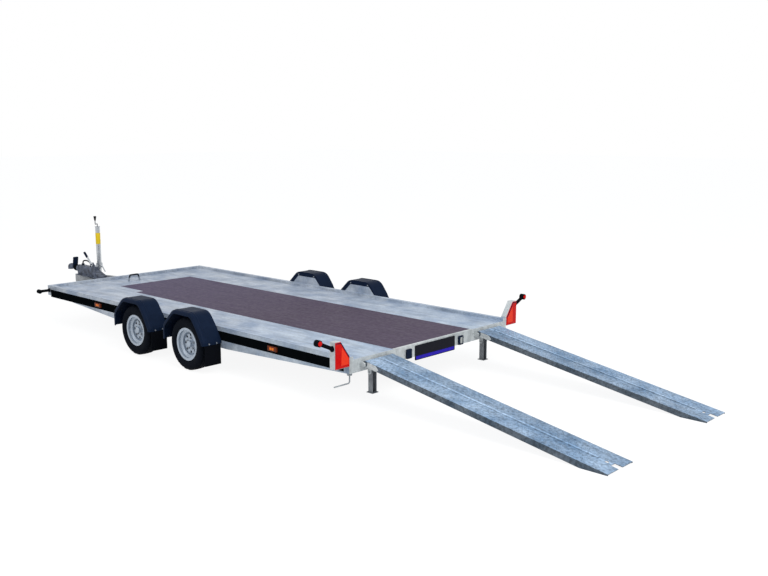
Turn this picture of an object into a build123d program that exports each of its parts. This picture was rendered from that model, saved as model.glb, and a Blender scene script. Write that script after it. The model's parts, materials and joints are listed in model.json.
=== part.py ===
"""Tandem-axle car transporter trailer, parked on its wheels and jockey wheel with both ramps down.

Frame: +X forward to the coupling, +Y to the left, +Z up, with the origin on the floor under the
middle of the whole length. Millimetres.
"""
import os
from math import asin, atan2, cos, degrees, hypot, radians, sin

from build123d import *

# Deck
DECK_LENGTH = 5000.0
DECK_WIDTH = 2150.0
DECK_TOP = 413.0
EDGE_RISE = 27.0
EDGE_WIDTH = 45.0
APRON_DEPTH = 540.0
BOARD_WIDTH = 1078.0
BOARD_THICKNESS = 15.0
BOARD_REAR_GAP = 22.0
PLATE_THICKNESS = 4.0
DECK_GAP = 1.0

# Chassis frame
RAIL_THICKNESS = 4.0
RAIL_FLANGE = 55.0
BELLY_BOTTOM = 238.0
BELLY_REAR_REACH = 840.0
BELLY_FRONT_REACH = 960.0
BELLY_NECK = 450.0
BELLY_FRONT_BOTTOM = 318.0
REAR_BEAM_BOTTOM = 301.0
BEAM_THICKNESS = 6.0
BEAM_FLANGE = 60.0
BEAM_FLANGE_INSET = 65.0
CROSS_DEPTH = 70.0
CROSS_FLANGE = 45.0
CROSS_THICKNESS = 4.0
CROSS_COUNT = 8
CROSS_FIRST = 420.0

# Side stripe and side markers
STRIPE_BOTTOM = 311.0
STRIPE_HEIGHT = 86.0
STRIPE_REAR = 66.0
STRIPE_FRONT_GAP = 70.0
STRIPE_THICKNESS = 1.0
MARKER_REAR_SETBACK = 950.0
MARKER_FRONT_SETBACK = 1130.0
MARKER_LENGTH = 120.0
MARKER_HEIGHT = 42.0
MARKER_DEPTH = 16.0
MARKER_ROUND = 5.0

# Drawbar
DRAWBAR_REACH = 1470.0
ARM_DEPTH = 100.0
ARM_WIDTH = 60.0
ARM_WALL = 5.0
ARM_SETBACK = 280.0
ARM_AXLE_GAP = 146.5
ARM_FRONT_SPREAD = 45.0
ARM_REAR_SPREAD = 720.0

# Wheels and axles
AXLE_SHARE = 0.488
AXLE_SPACING = 877.0
TYRE_RADIUS = 252.0
TYRE_WIDTH = 157.0
TYRE_TREAD = 112.0
TYRE_CROWN = 3.0
WHEEL_GAP = 28.0
BEAD_RADIUS = 139.7
RIM_WIDTH = 114.0
RIM_FLANGE_RADIUS = 157.0
RIM_FLANGE_THICKNESS = 9.0
RIM_WELL_RADIUS = 116.0
RIM_WALL = 5.0
DISC_OFFSET = 18.0
DISC_DISH = 14.0
SLOT_COUNT = 8
SLOT_CIRCLE = 83.0
SLOT_RADIUS = 13.5
HUB_RADIUS = 46.0
CAP_RADIUS = 32.0
CAP_REACH = 30.0
CAP_SEAT = 1.0
CAP_ROUND = 8.0
CAP_BORE_RADIUS = 23.5
CAP_END_GAP = 4.0
DRUM_RADIUS = 98.0
DRUM_WIDTH = 48.0
SPINDLE_RADIUS = 20.0
SPINDLE_CLEARANCE = 0.35
SEAT_GAP = 0.3
TUBE_SIZE = 70.0
TUBE_WALL = 6.0
TRAIL = 140.0
SWING_ARM_THICKNESS = 20.0
SWING_ARM_TUBE_RADIUS = 48.0
SWING_ARM_HUB_RADIUS = 38.0
BACK_PLATE_THICKNESS = 5.0

# Mudguards
GUARD_WIDTH = 207.0
GUARD_TOP = 572.0
GUARD_WALL = 4.0
GUARD_TOP_HALF = 165.0
GUARD_FRONT_REACH = 335.0
GUARD_FRONT_KNEE = 405.0
GUARD_FRONT_END = 262.0
GUARD_REAR_REACH = 288.0
GUARD_REAR_KNEE = 440.0
GUARD_REAR_END_REACH = 314.0
GUARD_REAR_FOOT = 335.0
GUARD_REAR_END = 285.0
GUARD_BEND = 130.0
GUARD_EDGE_ROUND = 22.0
GUARD_LIP = 16.0
GUARD_INNER_LIP = 60.0
GUARD_PLATE_THICKNESS = 3.0
GUARD_PLATE_BOTTOM = 400.0
GUARD_PLATE_INSET = 50.0
FLAP_THICKNESS = 6.0
FLAP_BOTTOM = 90.0
FLAP_LAP = 30.0
FLAP_INSET = 6.0

# Rear lamps and markers
LAMP_WIDTH = 155.0
LAMP_TOP_WIDTH = 58.0
LAMP_BOTTOM = 367.0
LAMP_HEIGHT = 218.0
LAMP_KNEE = 82.0
LAMP_DEPTH = 34.0
LAMP_STAND_OUT = 8.0
LAMP_BRACKET_DEPTH = 58.0
LAMP_BRACKET_WALL = 3.0
LAMP_CLEARANCE = 1.0
LAMP_ROUND = 6.0
OUTLINE_ARM_RADIUS = 16.0
OUTLINE_HEAD_RADIUS = 28.0
OUTLINE_HEAD_LENGTH = 46.0
OUTLINE_REACH = 152.0
OUTLINE_HEIGHT = 605.0
OUTLINE_FORWARD = 29.0
OUTLINE_BASE_HEIGHT = 535.0
OUTLINE_BASE_RADIUS = 24.0
OUTLINE_BASE_THICKNESS = 8.0
OUTLINE_ROUND = 4.0
FRONT_OUTLINE_HEAD_RADIUS = 24.0
FRONT_OUTLINE_REACH = 125.0
FRONT_OUTLINE_HEIGHT = 385.0
FRONT_OUTLINE_SETBACK = 40.0

# Number plate and its lamps
PLATE_WIDTH = 548.0
PLATE_HEIGHT = 132.0
PLATE_BOTTOM = 266.0
PLATE_DEPTH = 6.0
PLATE_LAMP_WIDTH = 66.0
PLATE_LAMP_HEIGHT = 84.0
PLATE_LAMP_BOTTOM = 300.0
PLATE_LAMP_CENTRE = 358.0
PLATE_LAMP_DEPTH = 14.0
PLATE_ROUND = 8.0

# Ramps
RAMP_CENTRE = 760.0
RAMP_WIDTH = 335.0
RAMP_LENGTH = 2265.0
RAMP_TOP = 25.0
RAMP_FLANGE = 48.0
RAMP_WALL = 4.0
RAMP_HEAD = 5.0
RAMP_TIP_LIP = 8.0
RAMP_NOTCH = 55.0
RAMP_NOTCH_DEPTH = 60.0
RAMP_HOLE_RADIUS = 14.0
RAMP_HOLE_SETBACK = 105.0
RAMP_BEAD_WIDTH = 34.0
RAMP_BEAD_HEIGHT = 6.0
RAMP_BEAD_HEAD_GAP = 60.0
RAMP_BEAD_TIP_GAP = 170.0
RAMP_PIN_RADIUS = 10.0
RAMP_PIN_CLEARANCE = 0.5
RAMP_PIN_OFFSET = 32.0
RAMP_PIN_HEIGHT = 365.0
RAMP_PIN_SPARE = 20.0
RAMP_LUG = 8.0
HOOK_RADIUS = 24.0
HOOK_MOUTH = 21.4
FLOOR_GAP = 0.3

# Rear legs
LEG_CENTRE = 765.0
LEG_FORWARD = 40.0
LEG_SIZE = 50.0
LEG_WALL = 4.0
LEG_PIVOT = 258.0
LEG_FOOT = 76.0
LEG_HEAD = 20.0
LEG_PIN_RADIUS = 8.0
LEG_PIN_CLEARANCE = 0.35
LEG_EAR_GAP = 6.0
LEG_EAR_THICKNESS = 6.0
LEG_EAR_RADIUS = 20.0
FOOT_SIZE = 72.0
FOOT_THICKNESS = 6.0

# Lock handle under the left rear corner
LOCK_SIDE_INSET = 30.0
LOCK_FORWARD = 30.0
LOCK_BLOCK = 30.0
LOCK_BLOCK_HEIGHT = 20.0
LOCK_ROD_RADIUS = 6.0
LOCK_BAR_HEIGHT = 215.0
LOCK_BAR_REACH = 175.0
LOCK_BEND = 18.0

# Overrun coupling
BALL_RADIUS = 25.0
SOCKET_CLEARANCE = 0.4
HEAD_RADIUS = 45.0
BALL_HEIGHT = 397.0
SOCKET_DEPTH = 30.0
NECK_RADIUS = 26.0
HEAD_LENGTH = 165.0
BELLOWS_LENGTH = 92.0
BELLOWS_RADIUS = 42.0
BELLOWS_PITCH = 23.0
BELLOWS_FOLD = 9.0
HOUSING_LENGTH = 400.0
HOUSING_WIDTH = 112.0
HOUSING_TOP = 447.0
HOUSING_ROUND = 18.0
HOUSING_BASE = 8.0
HOUSING_BASE_WIDTH = 190.0
HOUSING_BASE_LENGTH = 540.0
TAIL_LENGTH = 200.0
TAIL_DROP = 34.0
TAIL_END = 12.0
COLLAR_RADIUS = 50.0
COLLAR_LENGTH = 50.0
GRIP_WIDTH = 64.0
GRIP_THICKNESS = 24.0
GRIP_LENGTH = 151.0
GRIP_DROP = 5.0
GRIP_LEAN = 78.0
GRIP_ROUND = 10.0

# Handbrake lever
LEVER_SETBACK = 720.0
LEVER_PIVOT_HEIGHT = 500.0
LEVER_SIDE_GAP = 12.0
LEVER_ANGLE = 40.0
LEVER_LENGTH = 222.0
LEVER_THICKNESS = 8.0
LEVER_WIDTH = 30.0
LEVER_GRIP_LENGTH = 90.0
LEVER_GRIP_RADIUS = 15.0
LEVER_PIN_RADIUS = 9.0
LEVER_PIN_CLEARANCE = 0.35
LEVER_EYE_RADIUS = 24.0
LEVER_EAR_THICKNESS = 8.0
LEVER_EAR_WIDTH = 80.0

# Supply cable
CABLE_RADIUS = 9.0
CABLE_BEND_SHARE = 0.45
CABLE_POINTS = ((590.0, 18.0, 457.0), (590.0, 18.0, 489.0), (537.0, 10.0, 509.0), (460.0, -2.0, 516.0),
                (383.0, -10.0, 511.0), (330.0, -14.0, 493.0), (330.0, -14.0, 463.0))
GLAND_RADIUS = 13.0
PLUG_RADIUS = 20.0

# Jockey wheel
JACK_SETBACK = 318.0
JACK_SIDE = -260.0
JACK_TUBE_RADIUS = 30.0
JACK_TUBE_WALL = 3.0
JACK_TUBE_TOP = 930.0
JACK_TUBE_BOTTOM = 370.0
JACK_CAP_HEIGHT = 14.0
JACK_CAP_RADIUS = 33.0
JACK_SLIDE_CLEARANCE = 0.4
JACK_LEG_WALL = 3.0
JACK_LEG_TOP = 790.0
JACK_LEG_PLUG = 24.0
JACK_WHEEL_RADIUS = 100.0
JACK_WHEEL_WIDTH = 60.0
JACK_WHEEL_ROUND = 14.0
JACK_HUB_RADIUS = 22.0
JACK_HUB_LENGTH = 64.0
JACK_TRAIL = 45.0
JACK_AXLE_RADIUS = 8.0
JACK_AXLE_CLEARANCE = 0.35
FORK_GAP = 5.0
FORK_THICKNESS = 6.0
FORK_WIDTH = 44.0
FORK_CROWN = 8.0
FORK_EYE_RADIUS = 20.0
FORK_TOP = 231.0
FORK_RUN_GAP = 1.0
SWIVEL_PIN_RADIUS = 10.0
SWIVEL_PIN_CLEARANCE = 0.35
SWIVEL_PIN_HEIGHT = 20.0
CLAMP_RADIUS = 43.0
CLAMP_HEIGHT = 60.0
CLAMP_BOTTOM = 385.0
CLAMP_ARM_WIDTH = 46.0
CLAMP_ARM_HEIGHT = 34.0
CLAMP_SCREW_RADIUS = 8.0
CLAMP_SCREW_REACH = 82.0
CLAMP_SCREW_HEIGHT = 402.0
CLAMP_BAR_LENGTH = 88.0
CLAMP_BAR_ANGLE = 45.0
CRANK_RADIUS = 6.0
CRANK_RISE = 34.0
CRANK_ARM = 100.0
CRANK_DIRECTION = 135.0
CRANK_BEND = 16.0
CRANK_GRIP_BOTTOM = 1027.0
CRANK_GRIP_TOP = 1088.0
CRANK_GRIP_RADII = (9.0, 20.0)

# Bow behind the front edge
BOW_SETBACK = 300.0
BOW_SIDE = 110.0
BOW_HALF_WIDTH = 77.0
BOW_TOP_HALF_WIDTH = 56.0
BOW_TOP = 497.0
BOW_RADIUS = 10.0
BOW_BEND = 16.0

# Derived places
PLATE_UNDER = RAMP_TOP - RAMP_WALL
RAMP_ANGLE = degrees(atan2(PLATE_UNDER, RAMP_LENGTH)
                     + asin((RAMP_PIN_HEIGHT - RAMP_TIP_LIP) / hypot(RAMP_LENGTH, PLATE_UNDER)))
RAMP_REACH = RAMP_PIN_OFFSET + RAMP_LENGTH * cos(radians(RAMP_ANGLE)) + RAMP_TOP * sin(radians(RAMP_ANGLE))
REAR = (RAMP_REACH - DECK_LENGTH - DRAWBAR_REACH) / 2
FRONT = REAR + DECK_LENGTH
NOSE = FRONT + DRAWBAR_REACH
HALF_WIDTH = DECK_WIDTH / 2
EDGE_TOP = DECK_TOP + EDGE_RISE
EDGE_INNER = HALF_WIDTH - EDGE_WIDTH
CROSS_TOP = DECK_TOP - BOARD_THICKNESS
CROSS_BOTTOM = CROSS_TOP - CROSS_DEPTH
TRACK_FRONT = FRONT - EDGE_WIDTH - DECK_GAP
TRACK_INNER = BOARD_WIDTH / 2 + DECK_GAP / 2
TRACK_OUTER = EDGE_INNER - DECK_GAP
BOARD_FRONT = FRONT - APRON_DEPTH
AXLE_MIDDLE = REAR + AXLE_SHARE * DECK_LENGTH
AXLES = (AXLE_MIDDLE + AXLE_SPACING / 2, AXLE_MIDDLE - AXLE_SPACING / 2)
WHEEL_SIDE = HALF_WIDTH + WHEEL_GAP + TYRE_WIDTH / 2
GUARD_INNER = HALF_WIDTH + GUARD_PLATE_THICKNESS
RAMP_PIN_X = REAR - RAMP_PIN_OFFSET
BALL_X = NOSE - HEAD_RADIUS
HEAD_REAR = NOSE - HEAD_LENGTH
HOUSING_FRONT = HEAD_REAR - BELLOWS_LENGTH
JACK_X = NOSE - JACK_SETBACK


def block(x, y, z, mode=Mode.ADD):
    """A box between a low and a high limit on each axis."""
    with Locations(((x[0] + x[1]) / 2, (y[0] + y[1]) / 2, (z[0] + z[1]) / 2)):
        Box(x[1] - x[0], y[1] - y[0], z[1] - z[0], mode=mode)


def save(part, name):
    """Label a finished part and write it to its own file."""
    part.label = name
    export_step(part, f"parts/{name}.step")


os.makedirs("parts", exist_ok=True)

# Side rails: a web with a deeper belly at the axles, a bottom flange and a folded raised edge
rail_rear = REAR + BEAM_THICKNESS
rail_front = FRONT - BEAM_THICKNESS
belly_start = AXLE_MIDDLE - BELLY_REAR_REACH
belly = [(rail_rear, REAR_BEAM_BOTTOM), (belly_start, BELLY_BOTTOM), (AXLE_MIDDLE + BELLY_FRONT_REACH, BELLY_BOTTOM),
         (FRONT - BELLY_NECK, BELLY_FRONT_BOTTOM), (rail_front, CROSS_BOTTOM)]
belly_inside = [(x, z + RAIL_THICKNESS) for x, z in reversed(belly)]
with BuildPart() as side_rail_left:
    with BuildSketch(Plane.XZ.offset(-HALF_WIDTH)):
        with BuildLine():
            Polyline(*belly, (rail_front, EDGE_TOP), (rail_rear, EDGE_TOP), close=True)
        make_face()
    extrude(amount=RAIL_THICKNESS)
    with BuildSketch(Plane.XZ.offset(RAIL_THICKNESS - HALF_WIDTH)):
        with BuildLine():
            Polyline(*belly, *belly_inside, close=True)
        make_face()
    extrude(amount=RAIL_FLANGE)
    block((rail_rear, rail_front), (EDGE_INNER, HALF_WIDTH), (EDGE_TOP - RAIL_THICKNESS, EDGE_TOP))
    block((rail_rear, rail_front), (EDGE_INNER, EDGE_INNER + RAIL_THICKNESS), (CROSS_TOP, EDGE_TOP))
save(side_rail_left.part, "side_rail_left")
with BuildPart() as side_rail_right:
    mirror(side_rail_left.part, about=Plane.XZ)
save(side_rail_right.part, "side_rail_right")

# Side stripes: thin dark bands on the outer faces of the rails
with BuildPart() as side_stripes:
    block((REAR + STRIPE_REAR, FRONT - STRIPE_FRONT_GAP), (HALF_WIDTH, HALF_WIDTH + STRIPE_THICKNESS),
          (STRIPE_BOTTOM, STRIPE_BOTTOM + STRIPE_HEIGHT))
    mirror(about=Plane.XZ)
save(side_stripes.part, "side_stripes")

# Side markers: amber lamps on the stripes, two on each side
marker_middle = STRIPE_BOTTOM + STRIPE_HEIGHT / 2
marker_face = HALF_WIDTH + STRIPE_THICKNESS
with BuildPart() as side_markers:
    for place in (REAR + MARKER_REAR_SETBACK, FRONT - MARKER_FRONT_SETBACK):
        with BuildPart(mode=Mode.PRIVATE) as marker:
            block((place - MARKER_LENGTH / 2, place + MARKER_LENGTH / 2),
                  (marker_face, marker_face + MARKER_DEPTH),
                  (marker_middle - MARKER_HEIGHT / 2, marker_middle + MARKER_HEIGHT / 2))
            fillet(marker.faces().sort_by(Axis.Y)[-1].edges(), MARKER_ROUND)
        add(marker.part)
    mirror(about=Plane.XZ)
save(side_markers.part, "side_markers")

# Front beam: end plate, bottom flange and the raised edge across the front
flange_side = HALF_WIDTH - BEAM_FLANGE_INSET
lip_side = EDGE_INNER - DECK_GAP
with BuildPart() as front_beam:
    block((rail_front, FRONT), (-HALF_WIDTH, HALF_WIDTH), (CROSS_BOTTOM, EDGE_TOP))
    block((rail_front - BEAM_FLANGE, rail_front), (-flange_side, flange_side),
          (CROSS_BOTTOM, CROSS_BOTTOM + BEAM_THICKNESS))
    block((FRONT - EDGE_WIDTH, rail_front), (-lip_side, lip_side), (EDGE_TOP - RAIL_THICKNESS, EDGE_TOP))
    block((FRONT - EDGE_WIDTH, FRONT - EDGE_WIDTH + RAIL_THICKNESS), (-lip_side, lip_side), (CROSS_TOP, EDGE_TOP))
save(front_beam.part, "front_beam")

# Rear beam: end plate with two flanges, a strip behind the board, the ears of the legs and the lugs and bars that carry the ramps
ear_inside = LEG_SIZE / 2 + LEG_EAR_GAP
lug_inside = RAMP_WIDTH / 2 + RAMP_PIN_SPARE
board_rear = rail_rear + BOARD_REAR_GAP
cover_side = TRACK_INNER - DECK_GAP
with BuildPart() as rear_beam:
    block((REAR, rail_rear), (-HALF_WIDTH, HALF_WIDTH), (REAR_BEAM_BOTTOM, DECK_TOP))
    for side in (-HALF_WIDTH, EDGE_INNER):
        block((REAR, rail_rear), (side, side + EDGE_WIDTH), (DECK_TOP, EDGE_TOP))
    block((rail_rear, board_rear - DECK_GAP), (-cover_side, cover_side), (CROSS_TOP, DECK_TOP))
    for bottom in (REAR_BEAM_BOTTOM, CROSS_TOP - BEAM_THICKNESS):
        block((rail_rear, rail_rear + BEAM_FLANGE), (-flange_side, flange_side), (bottom, bottom + BEAM_THICKNESS))
    for side in (-LEG_CENTRE, LEG_CENTRE):
        for inside in (-ear_inside - LEG_EAR_THICKNESS, ear_inside):
            with BuildSketch(Plane.XZ.offset(-(side + inside))):
                with Locations((REAR + LEG_FORWARD, LEG_PIVOT)):
                    Circle(LEG_EAR_RADIUS)
                with Locations((REAR + LEG_FORWARD, (LEG_PIVOT + REAR_BEAM_BOTTOM) / 2)):
                    Rectangle(2 * LEG_EAR_RADIUS, REAR_BEAM_BOTTOM - LEG_PIVOT)
                with Locations((REAR + LEG_FORWARD, LEG_PIVOT)):
                    Circle(LEG_PIN_RADIUS + LEG_PIN_CLEARANCE, mode=Mode.SUBTRACT)
            extrude(amount=-LEG_EAR_THICKNESS)
    for side in (-RAMP_CENTRE, RAMP_CENTRE):
        for inside in (-lug_inside - RAMP_LUG, lug_inside):
            with BuildSketch(Plane.XZ.offset(-(side + inside))):
                with Locations((RAMP_PIN_X, RAMP_PIN_HEIGHT)):
                    Circle(2 * RAMP_PIN_RADIUS)
                with Locations(((RAMP_PIN_X + REAR) / 2, RAMP_PIN_HEIGHT)):
                    Rectangle(RAMP_PIN_OFFSET, 4 * RAMP_PIN_RADIUS)
            extrude(amount=-RAMP_LUG)
        with Locations((RAMP_PIN_X, side, RAMP_PIN_HEIGHT)):
            Cylinder(RAMP_PIN_RADIUS, 2 * lug_inside + RAMP_LUG, rotation=(90, 0, 0))
save(rear_beam.part, "rear_beam")

# Cross members: channels between the rails under the deck
cross_first = REAR + CROSS_FIRST
cross_middle = (cross_first + BOARD_FRONT) / 2
cross_pitch = (BOARD_FRONT - cross_first) / (CROSS_COUNT - 1)
with BuildPart() as cross_members:
    with BuildSketch(Plane.XZ):
        with Locations((cross_middle, (CROSS_TOP + CROSS_BOTTOM) / 2)):
            with GridLocations(cross_pitch, 0, CROSS_COUNT, 1):
                Rectangle(CROSS_FLANGE, CROSS_DEPTH)
                with Locations((CROSS_THICKNESS, 0)):
                    Rectangle(CROSS_FLANGE, CROSS_DEPTH - 2 * CROSS_THICKNESS, mode=Mode.SUBTRACT)
    extrude(amount=HALF_WIDTH - RAIL_THICKNESS, both=True)
save(cross_members.part, "cross_members")

# Wheel tracks: folded steel trays along both sides of the deck
with BuildPart() as track_left:
    block((rail_rear + DECK_GAP, TRACK_FRONT), (TRACK_INNER, TRACK_OUTER), (CROSS_TOP, DECK_TOP))
    block((rail_rear + DECK_GAP, TRACK_FRONT), (TRACK_INNER + PLATE_THICKNESS, TRACK_OUTER - PLATE_THICKNESS),
          (CROSS_TOP, DECK_TOP - PLATE_THICKNESS), mode=Mode.SUBTRACT)
save(track_left.part, "track_left")
with BuildPart() as track_right:
    mirror(track_left.part, about=Plane.XZ)
save(track_right.part, "track_right")

# Front apron: a folded tray between the tracks, ahead of the board
apron_rear = BOARD_FRONT + DECK_GAP
apron_side = TRACK_INNER - DECK_GAP
with BuildPart() as front_apron:
    block((apron_rear, TRACK_FRONT), (-apron_side, apron_side), (CROSS_TOP, DECK_TOP))
    block((apron_rear + PLATE_THICKNESS, TRACK_FRONT - PLATE_THICKNESS), (-apron_side, apron_side),
          (CROSS_TOP, DECK_TOP - PLATE_THICKNESS), mode=Mode.SUBTRACT)
save(front_apron.part, "front_apron")

# Deck board
board_side = BOARD_WIDTH / 2 - DECK_GAP / 2
with BuildPart() as deck_board:
    block((board_rear, BOARD_FRONT), (-board_side, board_side), (CROSS_TOP, DECK_TOP))
save(deck_board.part, "deck_board")

# Drawbar: two rectangular tubes that spread from the coupling to the frame
arm_start = Vector(NOSE - ARM_SETBACK, ARM_FRONT_SPREAD, CROSS_BOTTOM - ARM_DEPTH / 2)
arm_end = Vector(AXLES[0] + TRAIL + TUBE_SIZE / 2 + ARM_AXLE_GAP, ARM_REAR_SPREAD, CROSS_BOTTOM - ARM_DEPTH / 2)
arm_line = arm_end - arm_start
with BuildPart() as drawbar_left:
    with BuildSketch(Plane(arm_start, x_dir=(0, 0, 1), z_dir=arm_line)):
        Rectangle(ARM_DEPTH, ARM_WIDTH)
        Rectangle(ARM_DEPTH - 2 * ARM_WALL, ARM_WIDTH - 2 * ARM_WALL, mode=Mode.SUBTRACT)
    extrude(amount=arm_line.length)
save(drawbar_left.part, "drawbar_left")
with BuildPart() as drawbar_right:
    mirror(drawbar_left.part, about=Plane.XZ)
save(drawbar_right.part, "drawbar_right")

# Axles: a square tube under the rails, trailing arms, brake back plates and spindles
tube_middle = BELLY_BOTTOM - TUBE_SIZE / 2
arm_inner = HALF_WIDTH + DECK_GAP
arm_outer = arm_inner + SWING_ARM_THICKNESS
disc_face = WHEEL_SIDE + DISC_OFFSET
for axle, name in zip(AXLES, ("axle_front", "axle_rear")):
    with BuildPart() as axle_part:
        with BuildSketch(Plane.XZ):
            with Locations((axle + TRAIL, tube_middle)):
                Rectangle(TUBE_SIZE, TUBE_SIZE)
                Rectangle(TUBE_SIZE - 2 * TUBE_WALL, TUBE_SIZE - 2 * TUBE_WALL, mode=Mode.SUBTRACT)
        extrude(amount=arm_inner, both=True)
        with BuildSketch(Plane.XZ.offset(-arm_inner)):
            with Locations((axle + TRAIL, tube_middle)):
                Circle(SWING_ARM_TUBE_RADIUS)
            with Locations((axle, TYRE_RADIUS)):
                Circle(SWING_ARM_HUB_RADIUS)
            make_hull()
        extrude(amount=-SWING_ARM_THICKNESS)
        with Locations(Location((axle, arm_outer, TYRE_RADIUS), (-90, 0, 0))):
            Cylinder(DRUM_RADIUS, BACK_PLATE_THICKNESS, align=(Align.CENTER, Align.CENTER, Align.MIN))
            Cylinder(SPINDLE_RADIUS, disc_face - arm_outer, align=(Align.CENTER, Align.CENTER, Align.MIN))
        mirror(about=Plane.XZ)
    save(axle_part.part, name)

# Wheels, made about the Y axis with the outer side at +Y, then set on the four spindles
flange_inside = RIM_WIDTH / 2
tread_side = TYRE_TREAD / 2
tyre_side = TYRE_WIDTH / 2
bead = BEAD_RADIUS + SEAT_GAP
flange_top = RIM_FLANGE_RADIUS + SEAT_GAP
bead_side = flange_inside - SEAT_GAP
widest = (bead + TYRE_RADIUS) / 2
shoulder = TYRE_RADIUS - TYRE_CROWN
with BuildPart() as tyre:
    with BuildSketch(Plane.YZ):
        with BuildLine():
            Polyline((-bead_side, flange_top), (-bead_side, bead), (bead_side, bead), (bead_side, flange_top))
            ThreePointArc((bead_side, flange_top), (tyre_side, widest + SEAT_GAP), (tread_side + 8, shoulder - 10))
            ThreePointArc((tread_side + 8, shoulder - 10), (tread_side + 5, shoulder - 3), (tread_side, shoulder))
            ThreePointArc((tread_side, shoulder), (0, TYRE_RADIUS), (-tread_side, shoulder))
            ThreePointArc((-tread_side, shoulder), (-tread_side - 5, shoulder - 3), (-tread_side - 8, shoulder - 10))
            ThreePointArc((-tread_side - 8, shoulder - 10), (-tyre_side, widest + SEAT_GAP), (-bead_side, flange_top))
        make_face()
    revolve(axis=Axis.Y)

flange_outside = flange_inside + RIM_FLANGE_THICKNESS
well_side = flange_inside * 0.45
spindle_bore = SPINDLE_RADIUS + SPINDLE_CLEARANCE
drum_inner = arm_outer + BACK_PLATE_THICKNESS + SEAT_GAP - WHEEL_SIDE
with BuildPart() as rim_body:
    # Rolled barrel with a well in the middle and a bead flange on each side
    with BuildSketch(Plane.YZ):
        with BuildLine():
            Polyline((-flange_outside, RIM_FLANGE_RADIUS), (-flange_inside, RIM_FLANGE_RADIUS),
                     (-flange_inside, BEAD_RADIUS), (-well_side - 12, BEAD_RADIUS), (-well_side, RIM_WELL_RADIUS),
                     (well_side, RIM_WELL_RADIUS), (well_side + 12, BEAD_RADIUS), (flange_inside, BEAD_RADIUS),
                     (flange_inside, RIM_FLANGE_RADIUS), (flange_outside, RIM_FLANGE_RADIUS),
                     (flange_outside - RIM_WALL / 2, BEAD_RADIUS - RIM_WALL),
                     (well_side + 14, BEAD_RADIUS - RIM_WALL), (well_side + 2, RIM_WELL_RADIUS - RIM_WALL),
                     (-well_side - 2, RIM_WELL_RADIUS - RIM_WALL), (-well_side - 14, BEAD_RADIUS - RIM_WALL),
                     (-flange_outside + RIM_WALL / 2, BEAD_RADIUS - RIM_WALL), close=True)
        make_face()
    revolve(axis=Axis.Y)
    # Pressed disc, hub and brake drum
    disc_outer = RIM_WELL_RADIUS - RIM_WALL / 2
    with BuildSketch(Plane.YZ):
        with BuildLine():
            Polyline((DISC_OFFSET - DISC_DISH, disc_outer), (DISC_OFFSET - DISC_DISH, disc_outer - 12),
                     (DISC_OFFSET, SLOT_CIRCLE + 10), (DISC_OFFSET - 4, HUB_RADIUS + 16), (DISC_OFFSET - 4, HUB_RADIUS),
                     (DISC_OFFSET, HUB_RADIUS), (DISC_OFFSET, spindle_bore), (drum_inner, spindle_bore),
                     (drum_inner, DRUM_RADIUS), (drum_inner + DRUM_WIDTH, DRUM_RADIUS),
                     (drum_inner + DRUM_WIDTH, HUB_RADIUS + 20), (DISC_OFFSET - 10, HUB_RADIUS + 16),
                     (DISC_OFFSET - 6, SLOT_CIRCLE + 12), (DISC_OFFSET - DISC_DISH - 6, disc_outer - 14),
                     (DISC_OFFSET - DISC_DISH - 6, disc_outer), close=True)
        make_face()
    revolve(axis=Axis.Y)
    with Locations(Location((0, DISC_OFFSET, 0), (-90, 0, 0))):
        with PolarLocations(SLOT_CIRCLE, SLOT_COUNT):
            Cylinder(SLOT_RADIUS, 4 * DISC_DISH, mode=Mode.SUBTRACT)
with BuildPart() as grease_cap:
    with Locations(Location((0, DISC_OFFSET - CAP_SEAT, 0), (-90, 0, 0))):
        Cylinder(CAP_RADIUS, CAP_REACH + CAP_SEAT, align=(Align.CENTER, Align.CENTER, Align.MIN))
    fillet(grease_cap.edges().sort_by(Axis.Y)[-1], CAP_ROUND)
    with Locations(Location((0, DISC_OFFSET - CAP_SEAT, 0), (-90, 0, 0))):
        Cylinder(CAP_BORE_RADIUS, CAP_SEAT + CAP_END_GAP, align=(Align.CENTER, Align.CENTER, Align.MIN),
                 mode=Mode.SUBTRACT)
with BuildPart() as rim:
    add(rim_body.part)
    add(grease_cap.part)

for axle, where in zip(AXLES, ("front", "rear")):
    for side, hand in ((1, "left"), (-1, "right")):
        for source, kind in ((tyre, "tyre"), (rim, "rim")):
            with BuildPart() as wheel_piece:
                with Locations((axle, WHEEL_SIDE, TYRE_RADIUS)):
                    add(source.part)
            placed = wheel_piece.part if side > 0 else wheel_piece.part.mirror(Plane.XZ)
            save(placed, f"{kind}_{where}_{hand}")

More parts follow.
